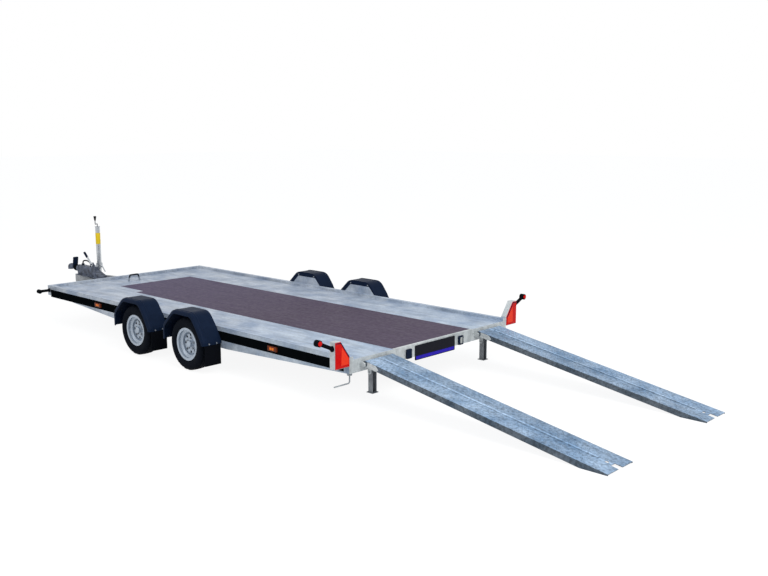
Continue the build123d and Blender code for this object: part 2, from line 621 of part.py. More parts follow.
# Mudguards: a rolled section swept over each wheel, with turned-in edges on both sides
guard_path_points = [(GUARD_FRONT_REACH, GUARD_FRONT_END), (GUARD_FRONT_REACH, GUARD_FRONT_KNEE),
                     (GUARD_TOP_HALF, GUARD_TOP), (-GUARD_TOP_HALF, GUARD_TOP),
                     (-GUARD_REAR_REACH, GUARD_REAR_KNEE), (-GUARD_REAR_END_REACH, GUARD_REAR_FOOT),
                     (-GUARD_REAR_END_REACH, GUARD_REAR_END)]
guard_round_inside = GUARD_EDGE_ROUND - GUARD_WALL
flat_width = GUARD_WIDTH - GUARD_EDGE_ROUND
with BuildPart() as guard:
    with BuildLine(Plane.XZ) as guard_path:
        FilletPolyline(*guard_path_points, radius=GUARD_BEND)
    start = guard_path.line @ 0
    with BuildSketch(Plane(start, x_dir=(0, 1, 0), z_dir=guard_path.line % 0)):
        with BuildLine():
            Line((0, 0), (flat_width, 0))
            RadiusArc((flat_width, 0), (GUARD_WIDTH, GUARD_EDGE_ROUND), -GUARD_EDGE_ROUND)
            Polyline((GUARD_WIDTH, GUARD_EDGE_ROUND), (GUARD_WIDTH, GUARD_EDGE_ROUND + GUARD_LIP),
                     (GUARD_WIDTH - GUARD_WALL, GUARD_EDGE_ROUND + GUARD_LIP),
                     (GUARD_WIDTH - GUARD_WALL, GUARD_EDGE_ROUND))
            RadiusArc((GUARD_WIDTH - GUARD_WALL, GUARD_EDGE_ROUND), (flat_width, GUARD_WALL), guard_round_inside)
            Polyline((flat_width, GUARD_WALL), (GUARD_WALL, GUARD_WALL), (GUARD_WALL, GUARD_INNER_LIP),
                     (0, GUARD_INNER_LIP), (0, 0))
        make_face()
    sweep(path=guard_path.wire())
with BuildPart() as mudguards:
    with Locations(*[(axle, GUARD_INNER, 0) for axle in AXLES]):
        add(guard.part)
    mirror(about=Plane.XZ)
save(mudguards.part, "mudguards")

# Guard plates: steel plates on the rails that close the arches towards the deck, inside the guards' edges
def inset_reach(foot, knee, height):
    """The reach, at a height, of a line kept the plate inset inside a sloping side of the guard."""
    run = foot[0] - knee[0]
    fall = knee[1] - foot[1]
    return knee[0] + run * (knee[1] - height) / fall - GUARD_PLATE_INSET * hypot(run, fall) / fall


plate_top = GUARD_TOP - GUARD_PLATE_INSET
front_slope = ((GUARD_FRONT_REACH, GUARD_FRONT_KNEE), (GUARD_TOP_HALF, GUARD_TOP))
rear_slope = ((GUARD_REAR_REACH, GUARD_REAR_KNEE), (GUARD_TOP_HALF, GUARD_TOP))
plate_outline = [(inset_reach(*front_slope, GUARD_PLATE_BOTTOM), GUARD_PLATE_BOTTOM),
                 (inset_reach(*front_slope, plate_top), plate_top),
                 (-inset_reach(*rear_slope, plate_top), plate_top),
                 (-inset_reach(*rear_slope, GUARD_PLATE_BOTTOM), GUARD_PLATE_BOTTOM)]
with BuildPart() as guard_plates:
    for axle in AXLES:
        with BuildSketch(Plane.XZ.offset(-HALF_WIDTH)):
            with BuildLine():
                Polyline(*[(axle + x, z) for x, z in plate_outline], close=True)
            make_face()
        extrude(amount=-GUARD_PLATE_THICKNESS)
    mirror(about=Plane.XZ)
save(guard_plates.part, "guard_plates")

# Mud flaps hanging behind the wheels
with BuildPart() as mud_flaps:
    for axle in AXLES:
        flap_back = axle - GUARD_REAR_END_REACH + GUARD_WALL
        block((flap_back, flap_back + FLAP_THICKNESS),
              (GUARD_INNER + FLAP_INSET, GUARD_INNER + GUARD_WIDTH - GUARD_EDGE_ROUND),
              (FLAP_BOTTOM, GUARD_REAR_END + FLAP_LAP))
    mirror(about=Plane.XZ)
save(mud_flaps.part, "mud_flaps")

# Rear lamps and the folded brackets around them
lamp_inner = HALF_WIDTH + LAMP_CLEARANCE + LAMP_BRACKET_WALL
lamp_outline = [(lamp_inner, LAMP_BOTTOM), (lamp_inner + LAMP_WIDTH, LAMP_BOTTOM),
                (lamp_inner + LAMP_WIDTH, LAMP_BOTTOM + LAMP_HEIGHT),
                (lamp_inner + LAMP_WIDTH - LAMP_TOP_WIDTH, LAMP_BOTTOM + LAMP_HEIGHT),
                (lamp_inner, LAMP_BOTTOM + LAMP_KNEE)]
with BuildPart() as rear_lamps:
    with BuildSketch(Plane.YZ.offset(REAR - LAMP_STAND_OUT)):
        with BuildLine():
            Polyline(*lamp_outline, close=True)
        make_face()
    extrude(amount=LAMP_DEPTH)
    fillet(rear_lamps.faces().sort_by(Axis.X)[0].edges(), LAMP_ROUND)
    mirror(about=Plane.XZ)
save(rear_lamps.part, "rear_lamps")
with BuildPart() as lamp_brackets:
    with BuildSketch(Plane.YZ.offset(REAR)) as bracket_sketch:
        with BuildLine():
            Polyline(*lamp_outline, close=True)
        make_face()
        offset(amount=LAMP_CLEARANCE + LAMP_BRACKET_WALL, kind=Kind.INTERSECTION)
    extrude(amount=LAMP_BRACKET_DEPTH)
    with BuildSketch(Plane.YZ.offset(REAR)):
        with BuildLine():
            Polyline(*lamp_outline, close=True)
        make_face()
        offset(amount=LAMP_CLEARANCE, kind=Kind.INTERSECTION)
    extrude(amount=LAMP_DEPTH - LAMP_STAND_OUT, mode=Mode.SUBTRACT)
    mirror(about=Plane.XZ)
save(lamp_brackets.part, "lamp_brackets")

# Outline markers on rubber arms, rear pair then front pair
bracket_outer = lamp_inner + LAMP_WIDTH + LAMP_CLEARANCE + LAMP_BRACKET_WALL
rear_arm_base = Vector(REAR + OUTLINE_FORWARD, bracket_outer, OUTLINE_BASE_HEIGHT)
rear_arm_tip = Vector(REAR + OUTLINE_FORWARD, bracket_outer + OUTLINE_REACH, OUTLINE_HEIGHT)
front_arm_base = Vector(FRONT - FRONT_OUTLINE_SETBACK, HALF_WIDTH, FRONT_OUTLINE_HEIGHT)
front_arm_tip = Vector(FRONT - FRONT_OUTLINE_SETBACK, HALF_WIDTH + FRONT_OUTLINE_REACH, FRONT_OUTLINE_HEIGHT)
for base, tip, head, name in (
        (rear_arm_base, rear_arm_tip, OUTLINE_HEAD_RADIUS, "rear_outline_arms"),
        (front_arm_base, front_arm_tip, FRONT_OUTLINE_HEAD_RADIUS, "front_outline_arms")):
    with BuildPart() as outline_arms:
        with BuildSketch(Plane(base, z_dir=(0, 1, 0))):
            Circle(OUTLINE_BASE_RADIUS)
        extrude(amount=OUTLINE_BASE_THICKNESS)
        with BuildSketch(Plane(base, z_dir=tip - base)):
            Circle(OUTLINE_ARM_RADIUS)
        extrude(amount=(tip - base).length)
        with Locations(Location(tip, (0, 90, 0))):
            Cylinder(head, OUTLINE_HEAD_LENGTH)
        split(bisect_by=Plane(base, z_dir=(0, 1, 0)), keep=Keep.TOP)
        fillet(outline_arms.faces().sort_by(Axis.X)[0].edges(), OUTLINE_ROUND)
        mirror(about=Plane.XZ)
    save(outline_arms.part, name)

# Number plate holder, bare, and the lamps beside it
with BuildPart() as number_plate:
    block((REAR - PLATE_DEPTH, REAR), (-PLATE_WIDTH / 2, PLATE_WIDTH / 2), (PLATE_BOTTOM, PLATE_BOTTOM + PLATE_HEIGHT))
    fillet(number_plate.edges().filter_by(Axis.X), PLATE_ROUND)
save(number_plate.part, "number_plate")
with BuildPart() as plate_lamps:
    block((REAR - PLATE_LAMP_DEPTH, REAR),
          (PLATE_LAMP_CENTRE - PLATE_LAMP_WIDTH / 2, PLATE_LAMP_CENTRE + PLATE_LAMP_WIDTH / 2),
          (PLATE_LAMP_BOTTOM, PLATE_LAMP_BOTTOM + PLATE_LAMP_HEIGHT))
    fillet(plate_lamps.edges().filter_by(Axis.X), PLATE_ROUND)
    mirror(about=Plane.XZ)
save(plate_lamps.part, "plate_lamps")

# Ramps: channel planks that hook over the bars of the rear beam
ramp_side = RAMP_WIDTH / 2
ramp_down = Vector(-cos(radians(RAMP_ANGLE)), 0, -sin(radians(RAMP_ANGLE)))
for side, hand in ((1, "left"), (-1, "right")):
    pin = Vector(RAMP_PIN_X, side * RAMP_CENTRE, RAMP_PIN_HEIGHT)
    ramp_plane = Plane(pin, x_dir=ramp_down, z_dir=(0, 1, 0))
    up = -1 if ramp_plane.y_dir.Z < 0 else 1
    deck_plane = Plane(pin + ramp_plane.y_dir * up * RAMP_TOP, x_dir=ramp_down, z_dir=ramp_plane.y_dir * up)
    with BuildPart() as ramp:
        with BuildSketch(ramp_plane):
            with BuildLine():
                Polyline((-RAMP_HEAD, up * RAMP_TOP), (RAMP_LENGTH, up * RAMP_TOP),
                         (RAMP_LENGTH, up * (RAMP_TOP - RAMP_FLANGE)), (HOOK_RADIUS, up * (RAMP_TOP - RAMP_FLANGE)),
                         (HOOK_RADIUS, 0), (-RAMP_HEAD, 0), close=True)
            make_face()
            Circle(HOOK_RADIUS)
            Circle(RAMP_PIN_RADIUS + RAMP_PIN_CLEARANCE, mode=Mode.SUBTRACT)
            with Locations((0, -up * HOOK_RADIUS)):
                Rectangle(HOOK_MOUTH, 2 * HOOK_RADIUS, mode=Mode.SUBTRACT)
        extrude(amount=ramp_side, both=True)
        # The hollow underside between the two flanges
        with BuildSketch(ramp_plane):
            with Locations((RAMP_LENGTH / 2, up * (RAMP_TOP - RAMP_WALL - RAMP_FLANGE))):
                Rectangle(RAMP_LENGTH + 4 * HOOK_RADIUS, 2 * RAMP_FLANGE)
        extrude(amount=ramp_side - RAMP_WALL, both=True, mode=Mode.SUBTRACT)
        # Pressed bead along the middle
        with BuildSketch(deck_plane):
            with Locations(((RAMP_BEAD_HEAD_GAP + RAMP_LENGTH - RAMP_BEAD_TIP_GAP) / 2, 0)):
                Rectangle(RAMP_LENGTH - RAMP_BEAD_HEAD_GAP - RAMP_BEAD_TIP_GAP, RAMP_BEAD_WIDTH)
        extrude(amount=RAMP_BEAD_HEIGHT, taper=35)
        # Notch and hole at the tip
        with BuildSketch(deck_plane):
            with Locations((RAMP_LENGTH - RAMP_NOTCH_DEPTH / 2, 0)):
                Rectangle(RAMP_NOTCH_DEPTH, RAMP_NOTCH)
            with Locations((RAMP_LENGTH - RAMP_HOLE_SETBACK, 0)):
                Circle(RAMP_HOLE_RADIUS)
        extrude(amount=-RAMP_FLANGE, mode=Mode.SUBTRACT)
        # The flanges are cut to lie on the floor
        split(bisect_by=Plane.XY.offset(FLOOR_GAP), keep=Keep.TOP)
    save(ramp.part, f"ramp_{hand}")

# Rear legs: square tubes with a foot, folding forward about a pin in the ears of the rear beam
for side, hand in ((1, "left"), (-1, "right")):
    leg_y = side * LEG_CENTRE
    leg_x = REAR + LEG_FORWARD
    with BuildPart() as leg:
        block((leg_x - LEG_SIZE / 2, leg_x + LEG_SIZE / 2), (leg_y - LEG_SIZE / 2, leg_y + LEG_SIZE / 2),
              (LEG_FOOT, LEG_PIVOT + LEG_HEAD))
        block((leg_x - LEG_SIZE / 2, leg_x + LEG_SIZE / 2 - LEG_WALL),
              (leg_y - LEG_SIZE / 2 + LEG_WALL, leg_y + LEG_SIZE / 2 - LEG_WALL),
              (LEG_FOOT, LEG_PIVOT + LEG_HEAD), mode=Mode.SUBTRACT)
        block((leg_x - FOOT_SIZE / 2, leg_x + FOOT_SIZE / 2), (leg_y - FOOT_SIZE / 2, leg_y + FOOT_SIZE / 2),
              (LEG_FOOT, LEG_FOOT + FOOT_THICKNESS))
        with Locations((leg_x, leg_y, LEG_PIVOT)):
            Cylinder(LEG_PIN_RADIUS, 2 * (ear_inside + LEG_EAR_THICKNESS), rotation=(90, 0, 0))
    save(leg.part, f"rear_leg_{hand}")

# Lock handle: a block under the left rear corner with a bent rod
lock_x = REAR + LOCK_FORWARD
lock_y = HALF_WIDTH - LOCK_SIDE_INSET
belly_slope = (REAR_BEAM_BOTTOM - BELLY_BOTTOM) / (belly_start - rail_rear)
lock_top = REAR_BEAM_BOTTOM - belly_slope * (LOCK_FORWARD + LOCK_BLOCK / 2 - BEAM_THICKNESS)
lock_start = lock_top - LOCK_BLOCK_HEIGHT
with BuildPart() as lock_handle:
    block((lock_x - LOCK_BLOCK / 2, lock_x + LOCK_BLOCK / 2), (lock_y - LOCK_BLOCK / 2, lock_y + LOCK_BLOCK / 2),
          (lock_start, lock_top))
    with BuildLine() as lock_path:
        FilletPolyline((lock_x, lock_y, lock_start), (lock_x, lock_y, LOCK_BAR_HEIGHT),
                       (lock_x, lock_y + LOCK_BAR_REACH, LOCK_BAR_HEIGHT), radius=LOCK_BEND)
    with BuildSketch(Plane((lock_x, lock_y, lock_start), z_dir=(0, 0, -1))):
        Circle(LOCK_ROD_RADIUS)
    sweep(path=lock_path.wire())
save(lock_handle.part, "lock_handle")

# Overrun housing on the drawbar, with a collar at the front, a sloping tail and the ear of the handbrake lever
housing_rear = HOUSING_FRONT - HOUSING_LENGTH
tail_rear = housing_rear - TAIL_LENGTH
housing_side = HOUSING_WIDTH / 2
housing_bottom = CROSS_BOTTOM + HOUSING_BASE
lever_x = NOSE - LEVER_SETBACK
ear_face = housing_side
with BuildPart() as coupling_housing:
    block((housing_rear, HOUSING_FRONT - COLLAR_LENGTH), (-housing_side, housing_side), (housing_bottom, HOUSING_TOP))
    fillet(coupling_housing.edges().filter_by(Axis.X).group_by(Axis.Z)[-1], HOUSING_ROUND)
    block((tail_rear, tail_rear + HOUSING_BASE_LENGTH), (-HOUSING_BASE_WIDTH / 2, HOUSING_BASE_WIDTH / 2),
          (CROSS_BOTTOM, housing_bottom))
    with BuildSketch(Plane.XZ):
        with BuildLine():
            Polyline((housing_rear, housing_bottom), (housing_rear, HOUSING_TOP - TAIL_DROP),
                     (tail_rear, housing_bottom + TAIL_END), (tail_rear, housing_bottom), close=True)
        make_face()
    extrude(amount=housing_side, both=True)
    with Locations(Location((HOUSING_FRONT - COLLAR_LENGTH, 0, BALL_HEIGHT), (0, 90, 0))):
        Cylinder(COLLAR_RADIUS, COLLAR_LENGTH, align=(Align.CENTER, Align.CENTER, Align.MIN))
    with BuildSketch(Plane.XZ.offset(-ear_face)):
        with Locations((lever_x, LEVER_PIVOT_HEIGHT)):
            Circle(LEVER_EYE_RADIUS)
        with Locations((lever_x, (LEVER_PIVOT_HEIGHT + housing_bottom) / 2)):
            Rectangle(LEVER_EAR_WIDTH, LEVER_PIVOT_HEIGHT - housing_bottom)
    extrude(amount=-LEVER_EAR_THICKNESS)
    with Locations(Location((lever_x, ear_face, LEVER_PIVOT_HEIGHT), (-90, 0, 0))):
        Cylinder(LEVER_PIN_RADIUS, LEVER_EAR_THICKNESS + LEVER_SIDE_GAP + 2 * LEVER_THICKNESS,
                 align=(Align.CENTER, Align.CENTER, Align.MIN))
save(coupling_housing.part, "coupling_housing")

# Bellows between the housing and the coupling head
fold_count = int(BELLOWS_LENGTH / BELLOWS_PITCH)
fold_pitch = BELLOWS_LENGTH / fold_count
with BuildPart() as coupling_bellows:
    with BuildSketch(Plane.XZ):
        with BuildLine():
            ridge = [(HOUSING_FRONT + i * fold_pitch / 2, BALL_HEIGHT + BELLOWS_RADIUS - (i + 1) % 2 * BELLOWS_FOLD)
                     for i in range(2 * fold_count + 1)]
            Polyline((HOUSING_FRONT, BALL_HEIGHT), *ridge, (HEAD_REAR, BALL_HEIGHT), close=True)
        make_face()
    revolve(axis=Axis((0, 0, BALL_HEIGHT), (1, 0, 0)))
save(coupling_bellows.part, "coupling_bellows")

# Coupling head: a cup over the towing ball, open below, on a round neck
socket_radius = BALL_RADIUS + SOCKET_CLEARANCE
with BuildPart() as coupling_head:
    with Locations((BALL_X, 0, BALL_HEIGHT)):
        Sphere(HEAD_RADIUS)
        Cylinder(HEAD_RADIUS, SOCKET_DEPTH, align=(Align.CENTER, Align.CENTER, Align.MAX))
    with Locations(Location((HEAD_REAR, 0, BALL_HEIGHT), (0, 90, 0))):
        Cylinder(NECK_RADIUS, BALL_X - HEAD_REAR, align=(Align.CENTER, Align.CENTER, Align.MIN))
    split(bisect_by=Plane.XY.offset(BALL_HEIGHT - SOCKET_DEPTH), keep=Keep.TOP)
    with Locations((BALL_X, 0, BALL_HEIGHT)):
        Sphere(socket_radius, mode=Mode.SUBTRACT)
        Cylinder(socket_radius, SOCKET_DEPTH, align=(Align.CENTER, Align.CENTER, Align.MAX), mode=Mode.SUBTRACT)
save(coupling_head.part, "coupling_head")

# Coupling handle: a saddle over the neck with an upright grip
grip_x = HEAD_REAR + GRIP_THICKNESS
grip_plane = Plane((grip_x, 0, BALL_HEIGHT - GRIP_DROP), x_dir=(0, 1, 0),
                   z_dir=(-cos(radians(GRIP_LEAN)), 0, sin(radians(GRIP_LEAN))))
with BuildPart() as coupling_handle:
    with BuildSketch(grip_plane):
        Rectangle(GRIP_WIDTH, GRIP_THICKNESS)
    extrude(amount=GRIP_LENGTH)
    fillet(coupling_handle.faces().sort_by(Axis.Z)[-1].edges(), GRIP_ROUND)
    with Locations(Location((HOUSING_FRONT, 0, BALL_HEIGHT), (0, 90, 0))):
        Cylinder(NECK_RADIUS + SEAT_GAP, NOSE - HOUSING_FRONT, align=(Align.CENTER, Align.CENTER, Align.MIN),
                 mode=Mode.SUBTRACT)
save(coupling_handle.part, "coupling_handle")

# Handbrake lever and its grip
lever_y = ear_face + LEVER_EAR_THICKNESS + LEVER_SIDE_GAP
lever_line = Vector(cos(radians(LEVER_ANGLE)), 0, sin(radians(LEVER_ANGLE)))
lever_pivot = Vector(lever_x, lever_y, LEVER_PIVOT_HEIGHT)
bar_length = LEVER_LENGTH - LEVER_GRIP_LENGTH
with BuildPart() as handbrake_lever:
    with BuildSketch(Plane(lever_pivot, x_dir=lever_line, z_dir=(0, 1, 0))):
        Circle(LEVER_EYE_RADIUS)
        with Locations((bar_length / 2, 0)):
            Rectangle(bar_length, LEVER_WIDTH)
        Circle(LEVER_PIN_RADIUS + LEVER_PIN_CLEARANCE, mode=Mode.SUBTRACT)
    extrude(amount=LEVER_THICKNESS)
save(handbrake_lever.part, "handbrake_lever")
grip_start = lever_pivot + lever_line * bar_length + Vector(0, LEVER_THICKNESS / 2, 0)
with BuildPart() as handbrake_grip:
    with BuildSketch(Plane(grip_start, z_dir=lever_line)):
        Circle(LEVER_GRIP_RADIUS)
    extrude(amount=LEVER_GRIP_LENGTH)
    fillet(handbrake_grip.edges(), LEVER_GRIP_RADIUS / 3)
save(handbrake_grip.part, "handbrake_grip")

# Supply cable: straight runs joined by tangent arcs, between a gland and a parked plug on the housing
cable_points = [Vector(NOSE - x, y, z) for x, y, z in CABLE_POINTS]
cable_runs = [b - a for a, b in zip(cable_points, cable_points[1:])]
cable_radii = []
for before, after in zip(cable_runs, cable_runs[1:]):
    half_turn = radians(before.get_angle(after)) / 2
    cable_radii.append(CABLE_BEND_SHARE * min(before.length, after.length) * cos(half_turn) / sin(half_turn))
with BuildPart() as supply_cable:
    with BuildLine() as cable_path:
        FilletPolyline(*cable_points, radius=cable_radii)
    with BuildSketch(Plane(cable_points[0], z_dir=cable_runs[0])):
        Circle(CABLE_RADIUS)
    sweep(path=cable_path.wire())
save(supply_cable.part, "supply_cable")
with BuildPart() as cable_ends:
    for point, radius in ((cable_points[0], GLAND_RADIUS), (cable_points[-1], PLUG_RADIUS)):
        with Locations((point.X, point.Y, HOUSING_TOP)):
            Cylinder(radius, point.Z - HOUSING_TOP, align=(Align.CENTER, Align.CENTER, Align.MIN))
save(cable_ends.part, "cable_ends")

# Jockey wheel clamp: an arm from the housing, a ring round the tube and a clamping lever
clamp_arm_end = JACK_SIDE + JACK_TUBE_RADIUS
screw_end = Vector(JACK_X - CLAMP_SCREW_REACH, JACK_SIDE, CLAMP_SCREW_HEIGHT)
bar_down = Vector(-cos(radians(CLAMP_BAR_ANGLE)), 0, -sin(radians(CLAMP_BAR_ANGLE)))
with BuildPart() as jack_clamp:
    block((JACK_X - CLAMP_ARM_WIDTH / 2, JACK_X + CLAMP_ARM_WIDTH / 2), (clamp_arm_end, -housing_side),
          (CLAMP_BOTTOM, CLAMP_BOTTOM + CLAMP_ARM_HEIGHT))
    with Locations((JACK_X, JACK_SIDE, CLAMP_BOTTOM)):
        Cylinder(CLAMP_RADIUS, CLAMP_HEIGHT, align=(Align.CENTER, Align.CENTER, Align.MIN))
    with Locations(Location((JACK_X, JACK_SIDE, CLAMP_SCREW_HEIGHT), (0, -90, 0))):
        Cylinder(CLAMP_SCREW_RADIUS, CLAMP_SCREW_REACH, align=(Align.CENTER, Align.CENTER, Align.MIN))
    with Locations(screw_end):
        Sphere(CLAMP_SCREW_RADIUS)
    with BuildSketch(Plane(screw_end, z_dir=bar_down)):
        Circle(CLAMP_SCREW_RADIUS)
    extrude(amount=CLAMP_BAR_LENGTH)
    with Locations((JACK_X, JACK_SIDE, CLAMP_BOTTOM)):
        Cylinder(JACK_TUBE_RADIUS + SEAT_GAP, CLAMP_HEIGHT, align=(Align.CENTER, Align.CENTER, Align.MIN),
                 mode=Mode.SUBTRACT)
save(jack_clamp.part, "jack_clamp")

# Jockey wheel tube with its cap
tube_inside = JACK_TUBE_RADIUS - JACK_TUBE_WALL
with BuildPart() as jack_tube:
    with Locations((JACK_X, JACK_SIDE, JACK_TUBE_BOTTOM)):
        Cylinder(JACK_TUBE_RADIUS, JACK_TUBE_TOP - JACK_TUBE_BOTTOM, align=(Align.CENTER, Align.CENTER, Align.MIN))
        Cylinder(tube_inside, JACK_TUBE_TOP - JACK_TUBE_BOTTOM, align=(Align.CENTER, Align.CENTER, Align.MIN),
                 mode=Mode.SUBTRACT)
    with Locations((JACK_X, JACK_SIDE, JACK_TUBE_TOP)):
        Cylinder(JACK_CAP_RADIUS, JACK_CAP_HEIGHT, align=(Align.CENTER, Align.CENTER, Align.MIN))
save(jack_tube.part, "jack_tube")

# Inner leg that slides in the tube, with a plug that takes the swivel pin
leg_radius = tube_inside - JACK_SLIDE_CLEARANCE
leg_bottom = FORK_TOP + FORK_RUN_GAP
with BuildPart() as jack_leg:
    with Locations((JACK_X, JACK_SIDE, leg_bottom)):
        Cylinder(leg_radius, JACK_LEG_TOP - leg_bottom, align=(Align.CENTER, Align.CENTER, Align.MIN))
        Cylinder(SWIVEL_PIN_RADIUS + SWIVEL_PIN_CLEARANCE, JACK_LEG_PLUG,
                 align=(Align.CENTER, Align.CENTER, Align.MIN), mode=Mode.SUBTRACT)
    with Locations((JACK_X, JACK_SIDE, leg_bottom + JACK_LEG_PLUG)):
        Cylinder(leg_radius - JACK_LEG_WALL, JACK_LEG_TOP - leg_bottom - JACK_LEG_PLUG,
                 align=(Align.CENTER, Align.CENTER, Align.MIN), mode=Mode.SUBTRACT)
save(jack_leg.part, "jack_leg")

# Fork that swivels under the leg and trails behind it
jack_axle_x = JACK_X - JACK_TRAIL
cheek_inside = JACK_HUB_LENGTH / 2 + FORK_GAP
cheek_outside = cheek_inside + FORK_THICKNESS
crown_bottom = FORK_TOP - FORK_CROWN
with BuildPart() as jack_fork:
    block((jack_axle_x - FORK_WIDTH / 2, JACK_X + FORK_WIDTH / 2), (JACK_SIDE - cheek_outside, JACK_SIDE + cheek_outside),
          (crown_bottom, FORK_TOP))
    for inside in (-cheek_outside, cheek_inside):
        with BuildSketch(Plane.XZ.offset(-(JACK_SIDE + inside))):
            with Locations((jack_axle_x, JACK_WHEEL_RADIUS)):
                Circle(FORK_EYE_RADIUS)
            with Locations(((jack_axle_x + JACK_X) / 2, FORK_TOP - FORK_CROWN / 2)):
                Rectangle(JACK_TRAIL + FORK_WIDTH, FORK_CROWN)
            make_hull()
        extrude(amount=-FORK_THICKNESS)
    with Locations((jack_axle_x, JACK_SIDE, JACK_WHEEL_RADIUS)):
        Cylinder(JACK_AXLE_RADIUS, 2 * cheek_outside, rotation=(90, 0, 0))
    with Locations((JACK_X, JACK_SIDE, FORK_TOP)):
        Cylinder(SWIVEL_PIN_RADIUS, SWIVEL_PIN_HEIGHT, align=(Align.CENTER, Align.CENTER, Align.MIN))
save(jack_fork.part, "jack_fork")

# Jockey wheel
with BuildPart() as jack_wheel:
    with Locations(Location((jack_axle_x, JACK_SIDE, JACK_WHEEL_RADIUS), (90, 0, 0))):
        Cylinder(JACK_WHEEL_RADIUS, JACK_WHEEL_WIDTH)
    fillet(jack_wheel.edges(), JACK_WHEEL_ROUND)
    with Locations(Location((jack_axle_x, JACK_SIDE, JACK_WHEEL_RADIUS), (90, 0, 0))):
        Cylinder(JACK_HUB_RADIUS, JACK_HUB_LENGTH)
        Cylinder(JACK_AXLE_RADIUS + JACK_AXLE_CLEARANCE, JACK_HUB_LENGTH, mode=Mode.SUBTRACT)
save(jack_wheel.part, "jack_wheel")

# Crank on top of the tube
crank_foot = Vector(JACK_X, JACK_SIDE, JACK_TUBE_TOP + JACK_CAP_HEIGHT)
crank_knee = crank_foot + Vector(0, 0, CRANK_RISE)
crank_elbow = crank_knee + Vector(CRANK_ARM, 0, 0).rotate(Axis.Z, CRANK_DIRECTION)
crank_top = Vector(crank_elbow.X, crank_elbow.Y, CRANK_GRIP_BOTTOM)
with BuildPart() as jack_crank:
    with BuildLine() as crank_path:
        FilletPolyline(crank_foot, crank_knee, crank_elbow, crank_top, radius=CRANK_BEND)
    with BuildSketch(Plane(crank_foot, z_dir=(0, 0, 1))):
        Circle(CRANK_RADIUS)
    sweep(path=crank_path.wire())
    with Locations(crank_top):
        Cone(CRANK_GRIP_RADII[0], CRANK_GRIP_RADII[1], CRANK_GRIP_TOP - CRANK_GRIP_BOTTOM,
             align=(Align.CENTER, Align.CENTER, Align.MIN))
    fillet(jack_crank.edges().sort_by(Axis.Z)[-1], CRANK_GRIP_RADII[0] / 2)
save(jack_crank.part, "jack_crank")

# Bow standing on the apron behind the front edge
bow_x = FRONT - BOW_SETBACK
with BuildPart() as front_bow:
    with BuildLine() as bow_path:
        FilletPolyline((bow_x, BOW_SIDE - BOW_HALF_WIDTH, DECK_TOP),
                       (bow_x, BOW_SIDE - BOW_TOP_HALF_WIDTH, BOW_TOP - BOW_RADIUS),
                       (bow_x, BOW_SIDE + BOW_TOP_HALF_WIDTH, BOW_TOP - BOW_RADIUS),
                       (bow_x, BOW_SIDE + BOW_HALF_WIDTH, DECK_TOP),
                       radius=BOW_BEND)
    with BuildSketch(Plane(bow_path.line @ 0, z_dir=bow_path.line % 0)):
        Circle(BOW_RADIUS)
    sweep(path=bow_path.wire())
    split(bisect_by=Plane.XY.offset(DECK_TOP), keep=Keep.TOP)
save(front_bow.part, "front_bow")
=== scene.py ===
"""Looks of the car transporter trailer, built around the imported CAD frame.

Everything is in the row frame: +X forward to the coupling, +Y to the left, +Z up, in metres.
"""
import json
import math

import bmesh
import bpy
from mathutils import Matrix, Vector


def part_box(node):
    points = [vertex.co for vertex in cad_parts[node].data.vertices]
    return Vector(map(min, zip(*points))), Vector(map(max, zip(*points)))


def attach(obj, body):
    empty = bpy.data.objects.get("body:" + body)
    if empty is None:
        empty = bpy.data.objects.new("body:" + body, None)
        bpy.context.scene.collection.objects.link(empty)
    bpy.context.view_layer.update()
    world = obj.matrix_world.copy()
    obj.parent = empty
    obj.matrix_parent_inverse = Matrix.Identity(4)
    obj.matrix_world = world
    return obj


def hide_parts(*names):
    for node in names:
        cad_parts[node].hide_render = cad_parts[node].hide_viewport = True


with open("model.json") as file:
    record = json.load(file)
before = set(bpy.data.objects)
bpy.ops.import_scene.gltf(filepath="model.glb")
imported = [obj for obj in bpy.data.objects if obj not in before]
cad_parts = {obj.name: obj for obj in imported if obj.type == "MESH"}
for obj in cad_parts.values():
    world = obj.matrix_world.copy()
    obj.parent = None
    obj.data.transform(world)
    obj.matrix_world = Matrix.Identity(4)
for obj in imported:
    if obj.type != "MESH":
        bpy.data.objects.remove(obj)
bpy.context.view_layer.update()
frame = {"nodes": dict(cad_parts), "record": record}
nodes = frame["nodes"]
scene = bpy.context.scene


def middle(node):
    """Middle of a CAD node's box."""
    low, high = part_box(node)
    return (low + high) / 2


# Places of the trailer, set out from the CAD nodes
HANDS = (("left", 1), ("right", -1))
REAR_BEAM_DEPTH = 0.066
REAR_TO_NOSE = 6.470
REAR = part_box("rear_beam")[1].x - REAR_BEAM_DEPTH
NOSE = REAR + REAR_TO_NOSE
DECK_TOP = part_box("deck_board")[1].z
WHEELS = {name: middle(f"tyre_{name}") for name in ("front_left", "front_right", "rear_left", "rear_right")}
AXLES = (WHEELS["front_left"].x, WHEELS["rear_left"].x)
TYRE_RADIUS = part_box("tyre_front_left")[1].z - WHEELS["front_left"].z
RAMP_PIN = Vector((REAR - 0.032, 0.760, 0.365))
RAMP_HALF_WIDTH = 0.1675
RAMP_ANGLE = math.radians(9.599)
RAMP_DOWN = Vector((-math.cos(RAMP_ANGLE), 0.0, -math.sin(RAMP_ANGLE)))
RAMP_UP = Vector((-math.sin(RAMP_ANGLE), 0.0, math.cos(RAMP_ANGLE)))


# Material helpers
def srgb(red, green, blue):
    """Linear colour of an 8-bit screen colour."""
    levels = (red / 255, green / 255, blue / 255)
    return tuple(((c + 0.055) / 1.055) ** 2.4 if c > 0.04045 else c / 12.92 for c in levels)


def grey(value):
    """A grey colour."""
    return (value, value, value)


def greys(*stops):
    """Stops of a grey ramp, each given as (place, value)."""
    return [(place, grey(value)) for place, value in stops]


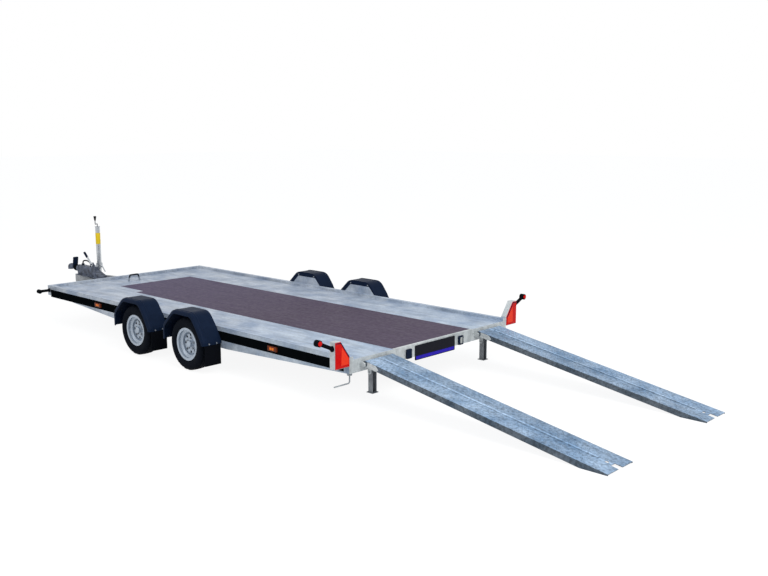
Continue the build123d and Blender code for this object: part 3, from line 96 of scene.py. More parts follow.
def new_material(name):
    """A material with an empty node tree, its Principled shader and its output."""
    mat = bpy.data.materials.new(name)
    mat.use_nodes = True
    tree = mat.node_tree
    tree.nodes.clear()
    out = tree.nodes.new("ShaderNodeOutputMaterial")
    shader = tree.nodes.new("ShaderNodeBsdfPrincipled")
    tree.links.new(shader.outputs["BSDF"], out.inputs["Surface"])
    return mat, tree, shader


def object_noise(tree, scale, detail=3.0, stretch=(1.0, 1.0, 1.0), turn=(0.0, 0.0, 0.0)):
    """Noise in object coordinates; returns its factor output."""
    coords = tree.nodes.new("ShaderNodeTexCoord")
    mapping = tree.nodes.new("ShaderNodeMapping")
    mapping.inputs["Scale"].default_value = stretch
    mapping.inputs["Rotation"].default_value = turn
    noise = tree.nodes.new("ShaderNodeTexNoise")
    noise.inputs["Scale"].default_value = scale
    noise.inputs["Detail"].default_value = detail
    tree.links.new(coords.outputs["Object"], mapping.inputs["Vector"])
    tree.links.new(mapping.outputs["Vector"], noise.inputs["Vector"])
    return noise.outputs["Fac"]


def zinc_flakes(tree, scale):
    """Cells in object coordinates, each of its own colour."""
    coords = tree.nodes.new("ShaderNodeTexCoord")
    cells = tree.nodes.new("ShaderNodeTexVoronoi")
    cells.inputs["Scale"].default_value = scale
    tree.links.new(coords.outputs["Object"], cells.inputs["Vector"])
    return cells.outputs["Color"]


def object_axis(tree, output, axis):
    """One axis of the object coordinates or of the object's own normal."""
    coords = tree.nodes.new("ShaderNodeTexCoord")
    split = tree.nodes.new("ShaderNodeSeparateXYZ")
    tree.links.new(coords.outputs[output], split.inputs["Vector"])
    return split.outputs[axis]


def without_sign(tree, value):
    """A value made positive."""
    node = tree.nodes.new("ShaderNodeMath")
    node.operation = "ABSOLUTE"
    tree.links.new(value, node.inputs[0])
    return node.outputs["Value"]


def spread(tree, value, low, high):
    """A value taken from one range to 0 and 1."""
    node = tree.nodes.new("ShaderNodeMapRange")
    node.inputs["From Min"].default_value = low
    node.inputs["From Max"].default_value = high
    tree.links.new(value, node.inputs["Value"])
    return node.outputs["Result"]


def ramp_colour(tree, factor, stops):
    """A colour ramp over a factor; returns its colour output."""
    node = tree.nodes.new("ShaderNodeValToRGB")
    elements = node.color_ramp.elements
    while len(elements) < len(stops):
        elements.new(0.5)
    for element, (place, colour) in zip(elements, stops):
        element.position = place
        element.color = (*colour, 1.0)
    tree.links.new(factor, node.inputs["Fac"])
    return node.outputs["Color"]


def tinted(tree, colour, factor, stops):
    """A colour multiplied by a ramp of tints over a factor."""
    tint = ramp_colour(tree, factor, stops)
    node = tree.nodes.new("ShaderNodeMix")
    node.data_type = "RGBA"
    node.blend_type = "MULTIPLY"
    node.inputs["Factor"].default_value = 1.0
    tree.links.new(colour, node.inputs["A"])
    tree.links.new(tint, node.inputs["B"])
    return node.outputs["Result"]


def finish_surface(tree, shader, roughness, scale, bump, distance=0.001):
    """Roughness that varies a little, and a fine bump."""
    low, high = roughness
    rough = ramp_colour(tree, object_noise(tree, scale, 4.0), greys((0.3, low), (0.7, high)))
    tree.links.new(rough, shader.inputs["Roughness"])
    node = tree.nodes.new("ShaderNodeBump")
    node.inputs["Strength"].default_value = bump
    node.inputs["Distance"].default_value = distance
    tree.links.new(object_noise(tree, scale * 5, 3.0), node.inputs["Height"])
    tree.links.new(node.outputs["Normal"], shader.inputs["Normal"])


def mottled(name, colour, roughness, metallic=0.0, specular=0.5, amount=0.10, scale=18.0, bump=0.15):
    """A surface of one colour with a slight mottle, uneven gloss and a fine bump."""
    mat, tree, shader = new_material(name)
    low = tuple(c * (1 - amount) for c in colour)
    high = tuple(min(1.0, c * (1 + amount)) for c in colour)
    mottle = ramp_colour(tree, object_noise(tree, scale), [(0.3, low), (0.7, high)])
    tree.links.new(mottle, shader.inputs["Base Color"])
    finish_surface(tree, shader, (roughness * 0.85, min(1.0, roughness * 1.15)), scale, bump)
    shader.inputs["Metallic"].default_value = metallic
    shader.inputs["Specular IOR Level"].default_value = specular
    return mat


# Across a ramp, inner edge to outer: inner half a little darker, painted shade beside the middle rib,
# painted highlight on it
RIB_PAINTED_LIGHT_AND_SHADE = greys((0.0, 0.86), (0.447, 0.90), (0.452, 0.70), (0.466, 0.74), (0.474, 1.30),
                   (0.526, 1.30), (0.534, 0.82), (0.550, 1.0), (1.0, 1.0))


def galvanised(name, light, dark, speckle, side=None, rear=None, painted_rib_light=False):
    """Zinc: soft clouds, slanting streaks and spangle; where asked, painted shade on upright sides, a tint
    towards the rear and a painted highlight on a rib.
    """
    mat, tree, shader = new_material(name)
    colour = ramp_colour(tree, object_noise(tree, 4.5, 5.0), [(0.32, dark), (0.66, light)])
    streaks = object_noise(tree, 7.0, 4.0, (0.35, 2.6, 1.0), (0.0, 0.0, 0.6))
    colour = tinted(tree, colour, streaks, greys((0.34, 0.82), (0.52, 1.0), (0.74, 1.08)))
    colour = tinted(tree, colour, zinc_flakes(tree, 55.0), greys((0.0, 0.90), (1.0, 1.06)))
    specks = greys((0.36, 1 - speckle), (0.5, 1.0), (0.64, 1 + speckle * 0.6))
    colour = tinted(tree, colour, object_noise(tree, 46.0, 2.0), specks)
    # Painted highlight on the ramp's middle rib and thin lines of painted shade beside it, from the inner
    # edge to the outer one.
    if painted_rib_light:
        off_middle = without_sign(tree, object_axis(tree, "Object", "Y"))
        across = spread(tree, off_middle, RAMP_PIN.y - RAMP_HALF_WIDTH, RAMP_PIN.y + RAMP_HALF_WIDTH)
        colour = tinted(tree, colour, across, RIB_PAINTED_LIGHT_AND_SHADE)
    if rear:
        back = spread(tree, object_axis(tree, "Object", "X"), REAR + 2.6, REAR + 0.2)
        colour = tinted(tree, colour, back, [(0.0, grey(1.0)), (1.0, rear)])
    # Painted shade on upright faces: they take the side tint, while faces that look up or down keep the
    # colour.
    if side:
        flat = spread(tree, without_sign(tree, object_axis(tree, "Normal", "Z")), 0.25, 0.75)
        colour = tinted(tree, colour, flat, [(0.0, side), (1.0, grey(1.0))])
    tree.links.new(colour, shader.inputs["Base Color"])
    finish_surface(tree, shader, (0.38, 0.58), 14.0, 0.12)
    shader.inputs["Metallic"].default_value = 0.25
    shader.inputs["Specular IOR Level"].default_value = 0.15
    return mat


def plywood(name):
    """Coated brown-violet plywood with a fine grain, a few scuffs and a painted sheen that turns it bluer
    towards the front.
    """
    mat, tree, shader = new_material(name)
    grain = object_noise(tree, 6.0, 6.0, (0.5, 7.0, 1.0))
    colour = ramp_colour(tree, grain, [(0.3, srgb(71, 60, 77)), (0.7, srgb(80, 68, 87))])
    # Painted sheen of the sky: the board turns lighter and bluer towards the front.
    front = spread(tree, object_axis(tree, "Object", "X"), REAR + 1.6, REAR + 4.5)
    colour = tinted(tree, colour, front, [(0.0, grey(1.0)), (1.0, (1.22, 1.30, 1.46))])
    scuffs = object_noise(tree, 9.0, 5.0, (0.25, 3.0, 1.0), (0.0, 0.0, 0.3))
    colour = tinted(tree, colour, scuffs, greys((0.66, 1.0), (0.74, 1.25)))
    tree.links.new(colour, shader.inputs["Base Color"])
    finish_surface(tree, shader, (0.42, 0.58), 30.0, 0.2)
    shader.inputs["Specular IOR Level"].default_value = 0.04
    return mat


def banded(name, place, below, above, metallic, roughness, blur=0.002, specular=0.3):
    """Two colours that meet at a height of the object."""
    mat, tree, shader = new_material(name)
    height = spread(tree, object_axis(tree, "Object", "Z"), place - blur, place + blur)
    colour = ramp_colour(tree, height, [(0.0, below), (1.0, above)])
    colour = tinted(tree, colour, object_noise(tree, 30.0, 4.0), greys((0.3, 0.88), (0.7, 1.08)))
    tree.links.new(colour, shader.inputs["Base Color"])
    finish_surface(tree, shader, (roughness * 0.85, roughness * 1.15), 30.0, 0.08)
    shader.inputs["Metallic"].default_value = metallic
    shader.inputs["Specular IOR Level"].default_value = specular
    return mat


# Finishes of the trailer
# The blue in the zinc and ramp zinc colours is a painted sky reflection; the side tints are painted shade
# on upright faces, deep on the ramp flanges.
ZINC = galvanised("zinc", srgb(194, 202, 214), srgb(146, 161, 184), 0.07, side=(1.0, 0.97, 0.92),
                  rear=(0.90, 0.96, 1.0))
ZINC_LIGHT = galvanised("zinc_light", srgb(210, 214, 214), srgb(186, 192, 194), 0.06)
ZINC_RAMP = galvanised("zinc_ramp", srgb(158, 180, 204), srgb(108, 136, 166), 0.30, side=(0.42, 0.37, 0.33),
                       painted_rib_light=True)
# A darker, greyer copy of the zinc, also on the legs and axles; on the drawbar its darkness is painted
# shade under the coupling housing.
ZINC_DARKER = galvanised("zinc_darker", srgb(164, 167, 170), srgb(122, 126, 131), 0.10)
ZINC_UNDER = galvanised("zinc_under", srgb(182, 187, 189), srgb(148, 154, 158), 0.10)
WOOD = plywood("plywood")
BLACK_PLASTIC = mottled("black_plastic", srgb(20, 32, 53), 0.45, specular=0.03, bump=0.1)
BLACK_BAND = mottled("black_band", srgb(9, 12, 14), 0.6, specular=0.0)
RUBBER = mottled("rubber", srgb(13, 15, 20), 0.7, specular=0.02, bump=0.25, scale=40.0)
TYRE = mottled("tyre", srgb(17, 20, 27), 0.75, specular=0.03, bump=0.3, scale=40.0)
SILVER = mottled("rim_silver", srgb(172, 182, 194), 0.36, 0.35, 0.3, scale=30.0, bump=0.06)
RED = mottled("red_lens", srgb(206, 20, 16), 0.2, specular=0.08, amount=0.10, scale=60.0, bump=0.05)
RED_BRIGHT = mottled("red_reflector", srgb(246, 62, 36), 0.24, specular=0.08, amount=0.16, scale=190.0)
AMBER = mottled("amber_lens", srgb(104, 44, 20), 0.22, specular=0.12, amount=0.14, scale=120.0)
AMBER_BRIGHT = mottled("amber_bright", srgb(255, 128, 36), 0.22, specular=0.12, amount=0.12, scale=190.0)
PLATE_DARK = mottled("dark_plate", srgb(20, 21, 30), 0.4, specular=0.06)
PLATE_BLUE = mottled("plate_blue", srgb(44, 30, 172), 0.35, specular=0.08)
CAST = mottled("cast_metal", srgb(92, 98, 112), 0.5, 0.12, 0.12, amount=0.65, scale=17.0, bump=0.3)
# The jack steel is lighter than its own tone: a painted reflection standing in for the polished tube's
# bright highlights.
JACK = mottled("jack_steel", srgb(190, 194, 198), 0.22, 0.7, 0.3, scale=24.0, bump=0.05)
CRANK = banded("crank_steel", 1.022, srgb(120, 124, 130), srgb(20, 20, 24), 0.3, 0.4)
BOW = banded("bow_steel", 0.455, srgb(140, 148, 158), srgb(40, 45, 54), 0.2, 0.45, 0.010, 0.1)
YELLOW = mottled("yellow_band", srgb(252, 214, 48), 0.4, specular=0.15, amount=0.06)
BOLT = mottled("bolt_zinc", srgb(150, 155, 162), 0.35, 0.5, 0.2, scale=60.0)
LENS_CLEAR = mottled("clear_lens", srgb(172, 175, 172), 0.22, specular=0.2, amount=0.14, scale=120.0)

by_slot = {
    "galvanised_steel": ZINC, "plywood": WOOD, "black_plastic": BLACK_PLASTIC, "black_band": BLACK_BAND,
    "rubber": RUBBER, "tyre": TYRE, "rim_silver": SILVER, "red_lens": RED, "amber_lens": AMBER,
    "dark_plate": PLATE_DARK, "cast_metal": CAST, "jack_steel": JACK,
}
by_node = {
    "rear_beam": ZINC_LIGHT, "lamp_brackets": ZINC_LIGHT, "ramp_left": ZINC_RAMP, "ramp_right": ZINC_RAMP,
    "rear_leg_left": ZINC_DARKER, "rear_leg_right": ZINC_DARKER, "drawbar_left": ZINC_DARKER,
    "drawbar_right": ZINC_DARKER, "axle_front": ZINC_DARKER, "axle_rear": ZINC_DARKER, "lock_handle": ZINC_UNDER,
    "cross_members": ZINC_UNDER, "jack_crank": CRANK, "front_bow": BOW,
}
slot_of = {s["node"]: s["material_slot"] for s in frame["record"]["subparts"]}
for name, obj in nodes.items():
    obj.data.materials.clear()
    obj.data.materials.append(by_node.get(name, by_slot[slot_of[name]]))


# Mesh helpers
def new_object(name, data):
    """A new object in the scene."""
    obj = bpy.data.objects.new(name, data)
    bpy.context.collection.objects.link(obj)
    return obj


def dress(obj, body):
    """Fixes a piece to a CAD body."""
    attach(obj, body)
    return obj


def mesh_piece(name, shape, body, material, smooth=0.0):
    """A closed mesh of (verts, faces) that rides on a CAD body, smooth below an angle in degrees."""
    verts, faces = shape
    data = bpy.data.meshes.new(name)
    data.from_pydata(verts, [], faces)
    data.validate()
    shell = bmesh.new()
    shell.from_mesh(data)
    bmesh.ops.remove_doubles(shell, verts=shell.verts, dist=1e-6)
    bmesh.ops.recalc_face_normals(shell, faces=shell.faces)
    shell.to_mesh(data)
    shell.free()
    if smooth:
        data.shade_smooth()
        data.set_sharp_from_angle(angle=math.radians(smooth))
    data.materials.append(material)
    return dress(new_object(name, data), body)


def rectangle(u_low, v_low, u_high, v_high):
    """Corners of a flat rectangle."""
    return [(u_low, v_low), (u_high, v_low), (u_high, v_high), (u_low, v_high)]


def plates(outlines, place):
    """Plates on flat outlines, each given as (points, base, rim, top, inset).

    The rim and the top, which is smaller by the inset, have a chamfer between them.
    """
    verts = []
    faces = []
    for points, base, rim, top, inset in outlines:
        first = len(verts)
        n = len(points)
        centre = (sum(p[0] for p in points) / n, sum(p[1] for p in points) / n)
        for level, share in ((base, 0.0), (rim, 0.0), (top, inset)):
            for u, v in points:
                reach = math.hypot(centre[0] - u, centre[1] - v)
                pull = min(0.8, share / reach) if reach else 0.0
                verts.append(place(u + (centre[0] - u) * pull, v + (centre[1] - v) * pull, level))
        faces.append(tuple(first + k for k in range(n)))
        faces.append(tuple(first + 2 * n + k for k in range(n)))
        for ring in (0, 1):
            for k in range(n):
                m = (k + 1) % n
                a = first + ring * n
                faces.append((a + k, a + m, a + n + m, a + n + k))
    return verts, faces


def turned(profile, steps, place, notch=None):
    """A closed profile of (along, radius) points turned about a line; notch lowers some of its points."""
    verts = []
    for i in range(steps):
        a = 2 * math.pi * i / steps
        for along, r in profile:
            low = notch(i, along, r) if notch else 0.0
            verts.append(place(along, (r - low) * math.cos(a), (r - low) * math.sin(a)))
    n = len(profile)
    faces = []
    for i in range(steps):
        j = (i + 1) % steps
        for k in range(n):
            m = (k + 1) % n
            faces.append((i * n + k, i * n + m, j * n + m, j * n + k))
    return verts, faces


def heads_tree():
    """Geometry nodes that set a tapered head on every point, turned to the point's own direction."""
    tree = bpy.data.node_groups.new("heads_on_points", "GeometryNodeTree")
    sockets = {"Geometry": "NodeSocketGeometry", "Sides": "NodeSocketInt", "Base Radius": "NodeSocketFloat",
               "Top Radius": "NodeSocketFloat", "Height": "NodeSocketFloat",
               "Material": "NodeSocketMaterial"}
    for label, kind in sockets.items():
        tree.interface.new_socket(label, in_out="INPUT", socket_type=kind)
    tree.interface.new_socket("Geometry", in_out="OUTPUT", socket_type="NodeSocketGeometry")
    enter = tree.nodes.new("NodeGroupInput")
    leave = tree.nodes.new("NodeGroupOutput")
    cone = tree.nodes.new("GeometryNodeMeshCone")
    out = tree.nodes.new("GeometryNodeInputNamedAttribute")
    out.data_type = "FLOAT_VECTOR"
    out.inputs["Name"].default_value = "out"
    align = tree.nodes.new("FunctionNodeAlignRotationToVector")
    align.axis = "Z"
    heads = tree.nodes.new("GeometryNodeInstanceOnPoints")
    real = tree.nodes.new("GeometryNodeRealizeInstances")
    paint = tree.nodes.new("GeometryNodeSetMaterial")
    tree.links.new(enter.outputs["Sides"], cone.inputs["Vertices"])
    tree.links.new(enter.outputs["Base Radius"], cone.inputs["Radius Bottom"])
    tree.links.new(enter.outputs["Top Radius"], cone.inputs["Radius Top"])
    tree.links.new(enter.outputs["Height"], cone.inputs["Depth"])
    tree.links.new(out.outputs["Attribute"], align.inputs["Vector"])
    tree.links.new(enter.outputs["Geometry"], heads.inputs["Points"])
    tree.links.new(cone.outputs["Mesh"], heads.inputs["Instance"])
    tree.links.new(align.outputs["Rotation"], heads.inputs["Rotation"])
    tree.links.new(heads.outputs["Instances"], real.inputs["Geometry"])
    tree.links.new(real.outputs["Geometry"], paint.inputs["Geometry"])
    tree.links.new(enter.outputs["Material"], paint.inputs["Material"])
    tree.links.new(paint.outputs["Geometry"], leave.inputs["Geometry"])
    return tree


HEADS = heads_tree()


def heads_piece(name, points, head, body, material):
    """Bolt heads, nuts or studs on points of (place, direction); head holds the sizes of one."""
    data = bpy.data.meshes.new(name)
    data.from_pydata([place for place, _ in points], [], [])
    out = data.attributes.new("out", "FLOAT_VECTOR", "POINT")
    for item, (_, direction) in zip(out.data, points):
        item.vector = direction
    obj = new_object(name, data)
    modifier = obj.modifiers.new("heads", "NODES")
    modifier.node_group = HEADS
    values = {**head, "Material": material}
    for item in HEADS.interface.items_tree:
        if item.in_out == "INPUT" and item.name in values:
            modifier[item.identifier] = values[item.name]
    made = bpy.data.meshes.new_from_object(obj.evaluated_get(bpy.context.evaluated_depsgraph_get()))
    obj.modifiers.clear()
    obj.data = made
    made.name = name
    return dress(obj, body)


# Supply cable along the route of the CAD source, each point as (distance behind the nose, y, z)
CABLE_POINTS = (
    (0.590, 0.018, 0.457), (0.590, 0.018, 0.489), (0.537, 0.010, 0.509), (0.460, -0.002, 0.516),
    (0.383, -0.010, 0.511), (0.330, -0.014, 0.493), (0.330, -0.014, 0.463),
)
CABLE_RADIUS = 0.009
cable_data = bpy.data.curves.new("cable", "CURVE")
cable_data.dimensions = "3D"
spline = cable_data.splines.new("NURBS")
spline.points.add(len(CABLE_POINTS) - 1)
for point, (behind, y, z) in zip(spline.points, CABLE_POINTS):
    point.co = (NOSE - behind, y, z, 1.0)
spline.order_u = 3
spline.use_endpoint_u = True
cable_data.bevel_depth = CABLE_RADIUS
cable_data.bevel_resolution = 4
cable_data.use_fill_caps = True
cable_data.materials.append(RUBBER)
cable = dress(new_object("cable", cable_data), "chassis")
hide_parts("supply_cable")

# Tyres with grooved treads and shoulder blocks in place of the plain CAD rings
TYRE_STEPS = 144
SIDE_WALL = (
    (0.0567, 0.1400), (0.0567, 0.1573), (0.0622, 0.1618), (0.0668, 0.1680), (0.0690, 0.1690),
    (0.0700, 0.1712), (0.0715, 0.1740), (0.0752, 0.1840), (0.0778, 0.1970), (0.0783, 0.2090),
    (0.0765, 0.2215), (0.0722, 0.2330), (0.0668, 0.2405), (0.0605, 0.2470), (0.0535, 0.2495),
    (0.0505, 0.2499),
)
GROOVE_PLACES = (0.045, 0.0165)
GROOVE_HALF_WIDTH = 0.0034
GROOVE_DEPTH = 0.007
GROOVE_TAPER = 0.001
TREAD_CROWN = 0.9
SHOULDER_OUT = 0.049
SHOULDER_RADIUS = 0.2395
NOTCH_DEPTH = 0.0055
BLOCK_STEPS = 6


def tyre_profile():
    """Section of a tyre: bead, bulged side wall with a thin rib, shoulder and grooved tread."""
    half = list(SIDE_WALL)
    for groove in GROOVE_PLACES:
        crown = TYRE_RADIUS - TREAD_CROWN * groove * groove
        floor_half = GROOVE_HALF_WIDTH - GROOVE_TAPER
        half.append((groove + GROOVE_HALF_WIDTH, crown))
        half.append((groove + floor_half, crown - GROOVE_DEPTH))
        half.append((groove - floor_half, crown - GROOVE_DEPTH))
        half.append((groove - GROOVE_HALF_WIDTH, crown))
    return half + [(-along, r) for along, r in reversed(half)]


def shoulder_notch(step, along, radius):
    """Cuts between the blocks of the shoulder."""
    on_shoulder = abs(along) > SHOULDER_OUT and radius > SHOULDER_RADIUS
    return NOTCH_DEPTH if on_shoulder and step % BLOCK_STEPS in (0, 1) else 0.0


def about_axle(centre):
    """Places a turned section about a line along Y through a centre."""
    return lambda along, u, v: (centre.x + u, centre.y + along, centre.z + v)


NUT_COUNT = 5
NUT_CIRCLE = 0.054
NUT_OUT = 0.0138
NUT = {"Sides": 6, "Base Radius": 0.0105, "Top Radius": 0.0088, "Height": 0.014}
for name, centre in WHEELS.items():
    tyre_shape = turned(tyre_profile(), TYRE_STEPS, about_axle(centre), shoulder_notch)
    tyre = mesh_piece(f"road_tyre_{name}", tyre_shape, f"wheel_{name}", TYRE, smooth=32.0)
    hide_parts(f"tyre_{name}")
    side = 1 if centre.y > 0 else -1
    nuts = []
    for k in range(NUT_COUNT):
        a = 2 * math.pi * (k + 0.25) / NUT_COUNT
        place = centre + Vector((NUT_CIRCLE * math.cos(a), side * NUT_OUT, NUT_CIRCLE * math.sin(a)))
        nuts.append((tuple(place), (0.0, side, 0.0)))
    heads_piece(f"wheel_nuts_{name}", nuts, NUT, f"wheel_{name}", BOLT)

# Grip studs in staggered rows on the ramps, and light plates at their hooks
STUD_ROWS = (-0.145, -0.108, -0.071, -0.036, 0.036, 0.071, 0.108, 0.145)
STUDS_IN_ROW = 36
STUD_START = 0.135
STUD_PITCH = 0.054
STUD_HEIGHT = 0.0248
STUD = {"Sides": 10, "Base Radius": 0.0105, "Top Radius": 0.0062, "Height": 0.0042}
HOOK_OUTLINE = ((0.026, 0.0215), (0.118, 0.0215), (0.152, -0.003), (0.132, -0.0225), (0.026, -0.0225))
HOOK_LEVELS = (0.1672, 0.1702, 0.1712)
HOOK_INSET = 0.002


def on_ramp(pin):
    """Places points (along, up, across) on a ramp from its pin."""
    def place_point(along, up, across):
        return tuple(pin + RAMP_DOWN * along + RAMP_UP * up + Vector((0.0, across, 0.0)))

    return place_point


for hand, side in HANDS:
    ramp_place = on_ramp(Vector((RAMP_PIN.x, side * RAMP_PIN.y, RAMP_PIN.z)))
    studs = []
    for row, across in enumerate(STUD_ROWS):
        start = STUD_START + (STUD_PITCH / 2 if row % 2 else 0.0)
        for k in range(STUDS_IN_ROW):
            studs.append((ramp_place(start + STUD_PITCH * k, STUD_HEIGHT, across), tuple(RAMP_UP)))
    heads_piece(f"grip_studs_{hand}", studs, STUD, f"ramp_{hand}", ZINC_RAMP)
    hooks = [(HOOK_OUTLINE, *(edge * level for level in HOOK_LEVELS), HOOK_INSET) for edge in (1, -1)]
    hook_shape = plates(hooks, ramp_place)
    mesh_piece(f"ramp_hooks_{hand}", hook_shape, f"ramp_{hand}", ZINC_LIGHT)

# Mudguards with a rounder arch, a rolled bead near the edge and turned-in lips, in place of the CAD ones
GUARD_WIDTH = 0.207
GUARD_SKIN = 0.003
GUARD_EDGE_RADIUS = 0.022
GUARD_OUTER_LIP = 0.038
GUARD_INNER_LIP = 0.060
GUARD_BEAD = ((0.158, 0.0), (0.162, -0.003), (0.170, -0.003), (0.174, 0.0))
GUARD_CORNER = 0.130
CORNER_SHARE = 0.46
CORNER_POINTS = 8
GUARD_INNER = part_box("mudguards")[1].y - GUARD_WIDTH
GUARD_LINE = (
    (0.342, 0.262), (0.342, 0.405), (0.165, 0.572), (-0.138, 0.572), (-0.240, 0.440), (-0.314, 0.312),
    (-0.314, 0.285),
)


def guard_edge(radius):
    """Quarter arc of a guard's outer edge, from its top to its side."""
    arc = []
    for k in range(5):
        a = math.pi / 2 * k / 4
        across = GUARD_WIDTH - GUARD_EDGE_RADIUS + radius * math.sin(a)
        arc.append((across, GUARD_EDGE_RADIUS - radius * math.cos(a)))
    return arc


def guard_section():
    """Section of a guard as (across, inwards): top with its bead, rolled edge, outer lip and inner lip."""
    outside = [(0.0, 0.0), *GUARD_BEAD, *guard_edge(GUARD_EDGE_RADIUS), (GUARD_WIDTH, GUARD_OUTER_LIP)]
    edge_inside = reversed(guard_edge(GUARD_EDGE_RADIUS - GUARD_SKIN))
    inside = [(GUARD_WIDTH - GUARD_SKIN, GUARD_OUTER_LIP), *edge_inside, (GUARD_SKIN, GUARD_SKIN)]
    return outside + inside + [(GUARD_SKIN, GUARD_INNER_LIP), (0.0, GUARD_INNER_LIP)]


def rounded_line(points, radius):
    """Points of a line whose corners are rounded."""
    line = [Vector(points[0])]
    for before, corner, after in zip(points, points[1:], points[2:]):
        turn_point = Vector(corner)
        back = Vector(before) - turn_point
        ahead = Vector(after) - turn_point
        longest = CORNER_SHARE * min(back.length, ahead.length)
        reach = min(radius / math.tan(back.angle(ahead) / 2), longest)
        first = turn_point + back.normalized() * reach
        last = turn_point + ahead.normalized() * reach
        for k in range(CORNER_POINTS):
            t = k / (CORNER_POINTS - 1)
            line.append(first * (1 - t) ** 2 + turn_point * 2 * t * (1 - t) + last * t ** 2)
    return line + [Vector(points[-1])]


def add_guard(axle, side, verts, faces):
    """Adds one guard: the section swept along the arch."""
    line = rounded_line(GUARD_LINE, GUARD_CORNER)
    section = guard_section()
    first = len(verts)
    n = len(section)
    for k, point in enumerate(line):
        run = (line[min(k + 1, len(line) - 1)] - line[max(k - 1, 0)]).normalized()
        for across, inwards in section:
            x = axle + point.x - run.y * inwards
            verts.append((x, side * (GUARD_INNER + across), point.y + run.x * inwards))
    for k in range(len(line) - 1):
        for i in range(n):
            j = (i + 1) % n
            a = first + k * n
            faces.append((a + i, a + j, a + n + j, a + n + i))
    faces.append(tuple(first + i for i in range(n)))
    faces.append(tuple(first + (len(line) - 1) * n + i for i in range(n)))


guard_verts = []
guard_faces = []
for axle in AXLES:
    for _, side in HANDS:
        add_guard(axle, side, guard_verts, guard_faces)
guard_shape = (guard_verts, guard_faces)
guards = mesh_piece("arched_guards", guard_shape, "chassis", BLACK_PLASTIC, smooth=28.0)
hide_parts("mudguards")

# Bolt heads on the guards: two on each inner side and two above each flap
INNER_BOLTS = ((0.140, 0.537), (-0.122, 0.537))
FLAP_BOLTS_BACK = 0.314
FLAP_BOLTS_ACROSS = (0.055, 0.140)
FLAP_BOLTS_HEIGHT = 0.296
GUARD_BOLT = {"Sides": 6, "Base Radius": 0.0085, "Top Radius": 0.0070, "Height": 0.006}
bolts = []
for axle in AXLES:
    for _, side in HANDS:
        for x, z in INNER_BOLTS:
            bolts.append(((axle + x, side * GUARD_INNER, z), (0.0, -side, 0.0)))
        for across in FLAP_BOLTS_ACROSS:
            place = (axle - FLAP_BOLTS_BACK, side * (GUARD_INNER + across), FLAP_BOLTS_HEIGHT)
            bolts.append((place, (-1.0, 0.0, 0.0)))
heads_piece("guard_bolts", bolts, GUARD_BOLT, "chassis", BOLT)


# Lenses: flat lights with a chamfered edge
def on_side(side):
    """Places flat points (x, z) on a side of the trailer, at a distance outwards."""
    return lambda x, z, out: (x, side * out, z)


def on_rear(side):
    """Places flat points (y, z) on the rear of the trailer, at a distance to the rear."""
    return lambda y, z, back: (REAR - back, side * y, z)


# Marker fields are (shift, half length), and levels are a plate's base, rim, top and inset
MARKER_HALF = 0.060
MARKER_FIELDS = ((-0.016, 0.011), (0.014, 0.014))
FIELD_HALF_HEIGHT = 0.011
REFLECTOR = ((1.168, 0.540), (1.176, 0.390), (1.092, 0.390), (1.092, 0.440))
REFLECTOR_LEVELS = (0.0075, 0.0085, 0.0098, 0.004)
LAMP_EDGE_LEVELS = (0.0060, 0.0086, 0.0092, 0.0005)
LAMP_EDGE = (
    (1.231, 0.582), (1.175, 0.582), (1.081, 0.450), (1.081, 0.443), (1.088, 0.446), (1.178, 0.574),
    (1.231, 0.575),
)
OUTLINE_LENS = (
    (0.0, 0.0205), (0.003, 0.0195), (0.0055, 0.015), (0.0066, 0.006), (0.0066, 0.001), (0.0, 0.001),
)
OUTLINE_LENS_STEPS = 32
OUTLINE_HEAD_RADIUS = 0.028
LENS_SEAT = 0.0005
marker_low, marker_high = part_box("side_markers")
marker_z = (marker_low.z + marker_high.z) / 2
marker_levels = (marker_high.y - 0.001, marker_high.y + 0.0005, marker_high.y + 0.002, 0.003)
marker_outlines = []
for x in (marker_low.x + MARKER_HALF, marker_high.x - MARKER_HALF):
    for shift, half in MARKER_FIELDS:
        field = rectangle(x + shift - half, marker_z - FIELD_HALF_HEIGHT,
                          x + shift + half, marker_z + FIELD_HALF_HEIGHT)
        marker_outlines.append((field, *marker_levels))
arm_low, arm_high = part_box("rear_outline_arms")


def on_outline_head(side):
    """Places a turned lens on the rear of an outline lamp's head."""
    head_y = side * (arm_high.y - OUTLINE_HEAD_RADIUS)
    head_z = arm_high.z - OUTLINE_HEAD_RADIUS
    return lambda along, u, v: (arm_low.x - along + LENS_SEAT, head_y + u, head_z + v)


for hand, side in HANDS:
    marker_shape = plates(marker_outlines, on_side(side))
    mesh_piece(f"marker_lenses_{hand}", marker_shape, "chassis", AMBER_BRIGHT)
    reflector_shape = plates([(REFLECTOR, *REFLECTOR_LEVELS)], on_rear(side))
    mesh_piece(f"lamp_reflector_{hand}", reflector_shape, "chassis", RED_BRIGHT)
    edge_shape = plates([(LAMP_EDGE, *LAMP_EDGE_LEVELS)], on_rear(side))
    mesh_piece(f"lamp_edge_{hand}", edge_shape, "chassis", BLACK_PLASTIC)
    lens_shape = turned(OUTLINE_LENS, OUTLINE_LENS_STEPS, on_outline_head(side))
    mesh_piece(f"outline_lens_{hand}", lens_shape, "chassis", RED, smooth=40.0)

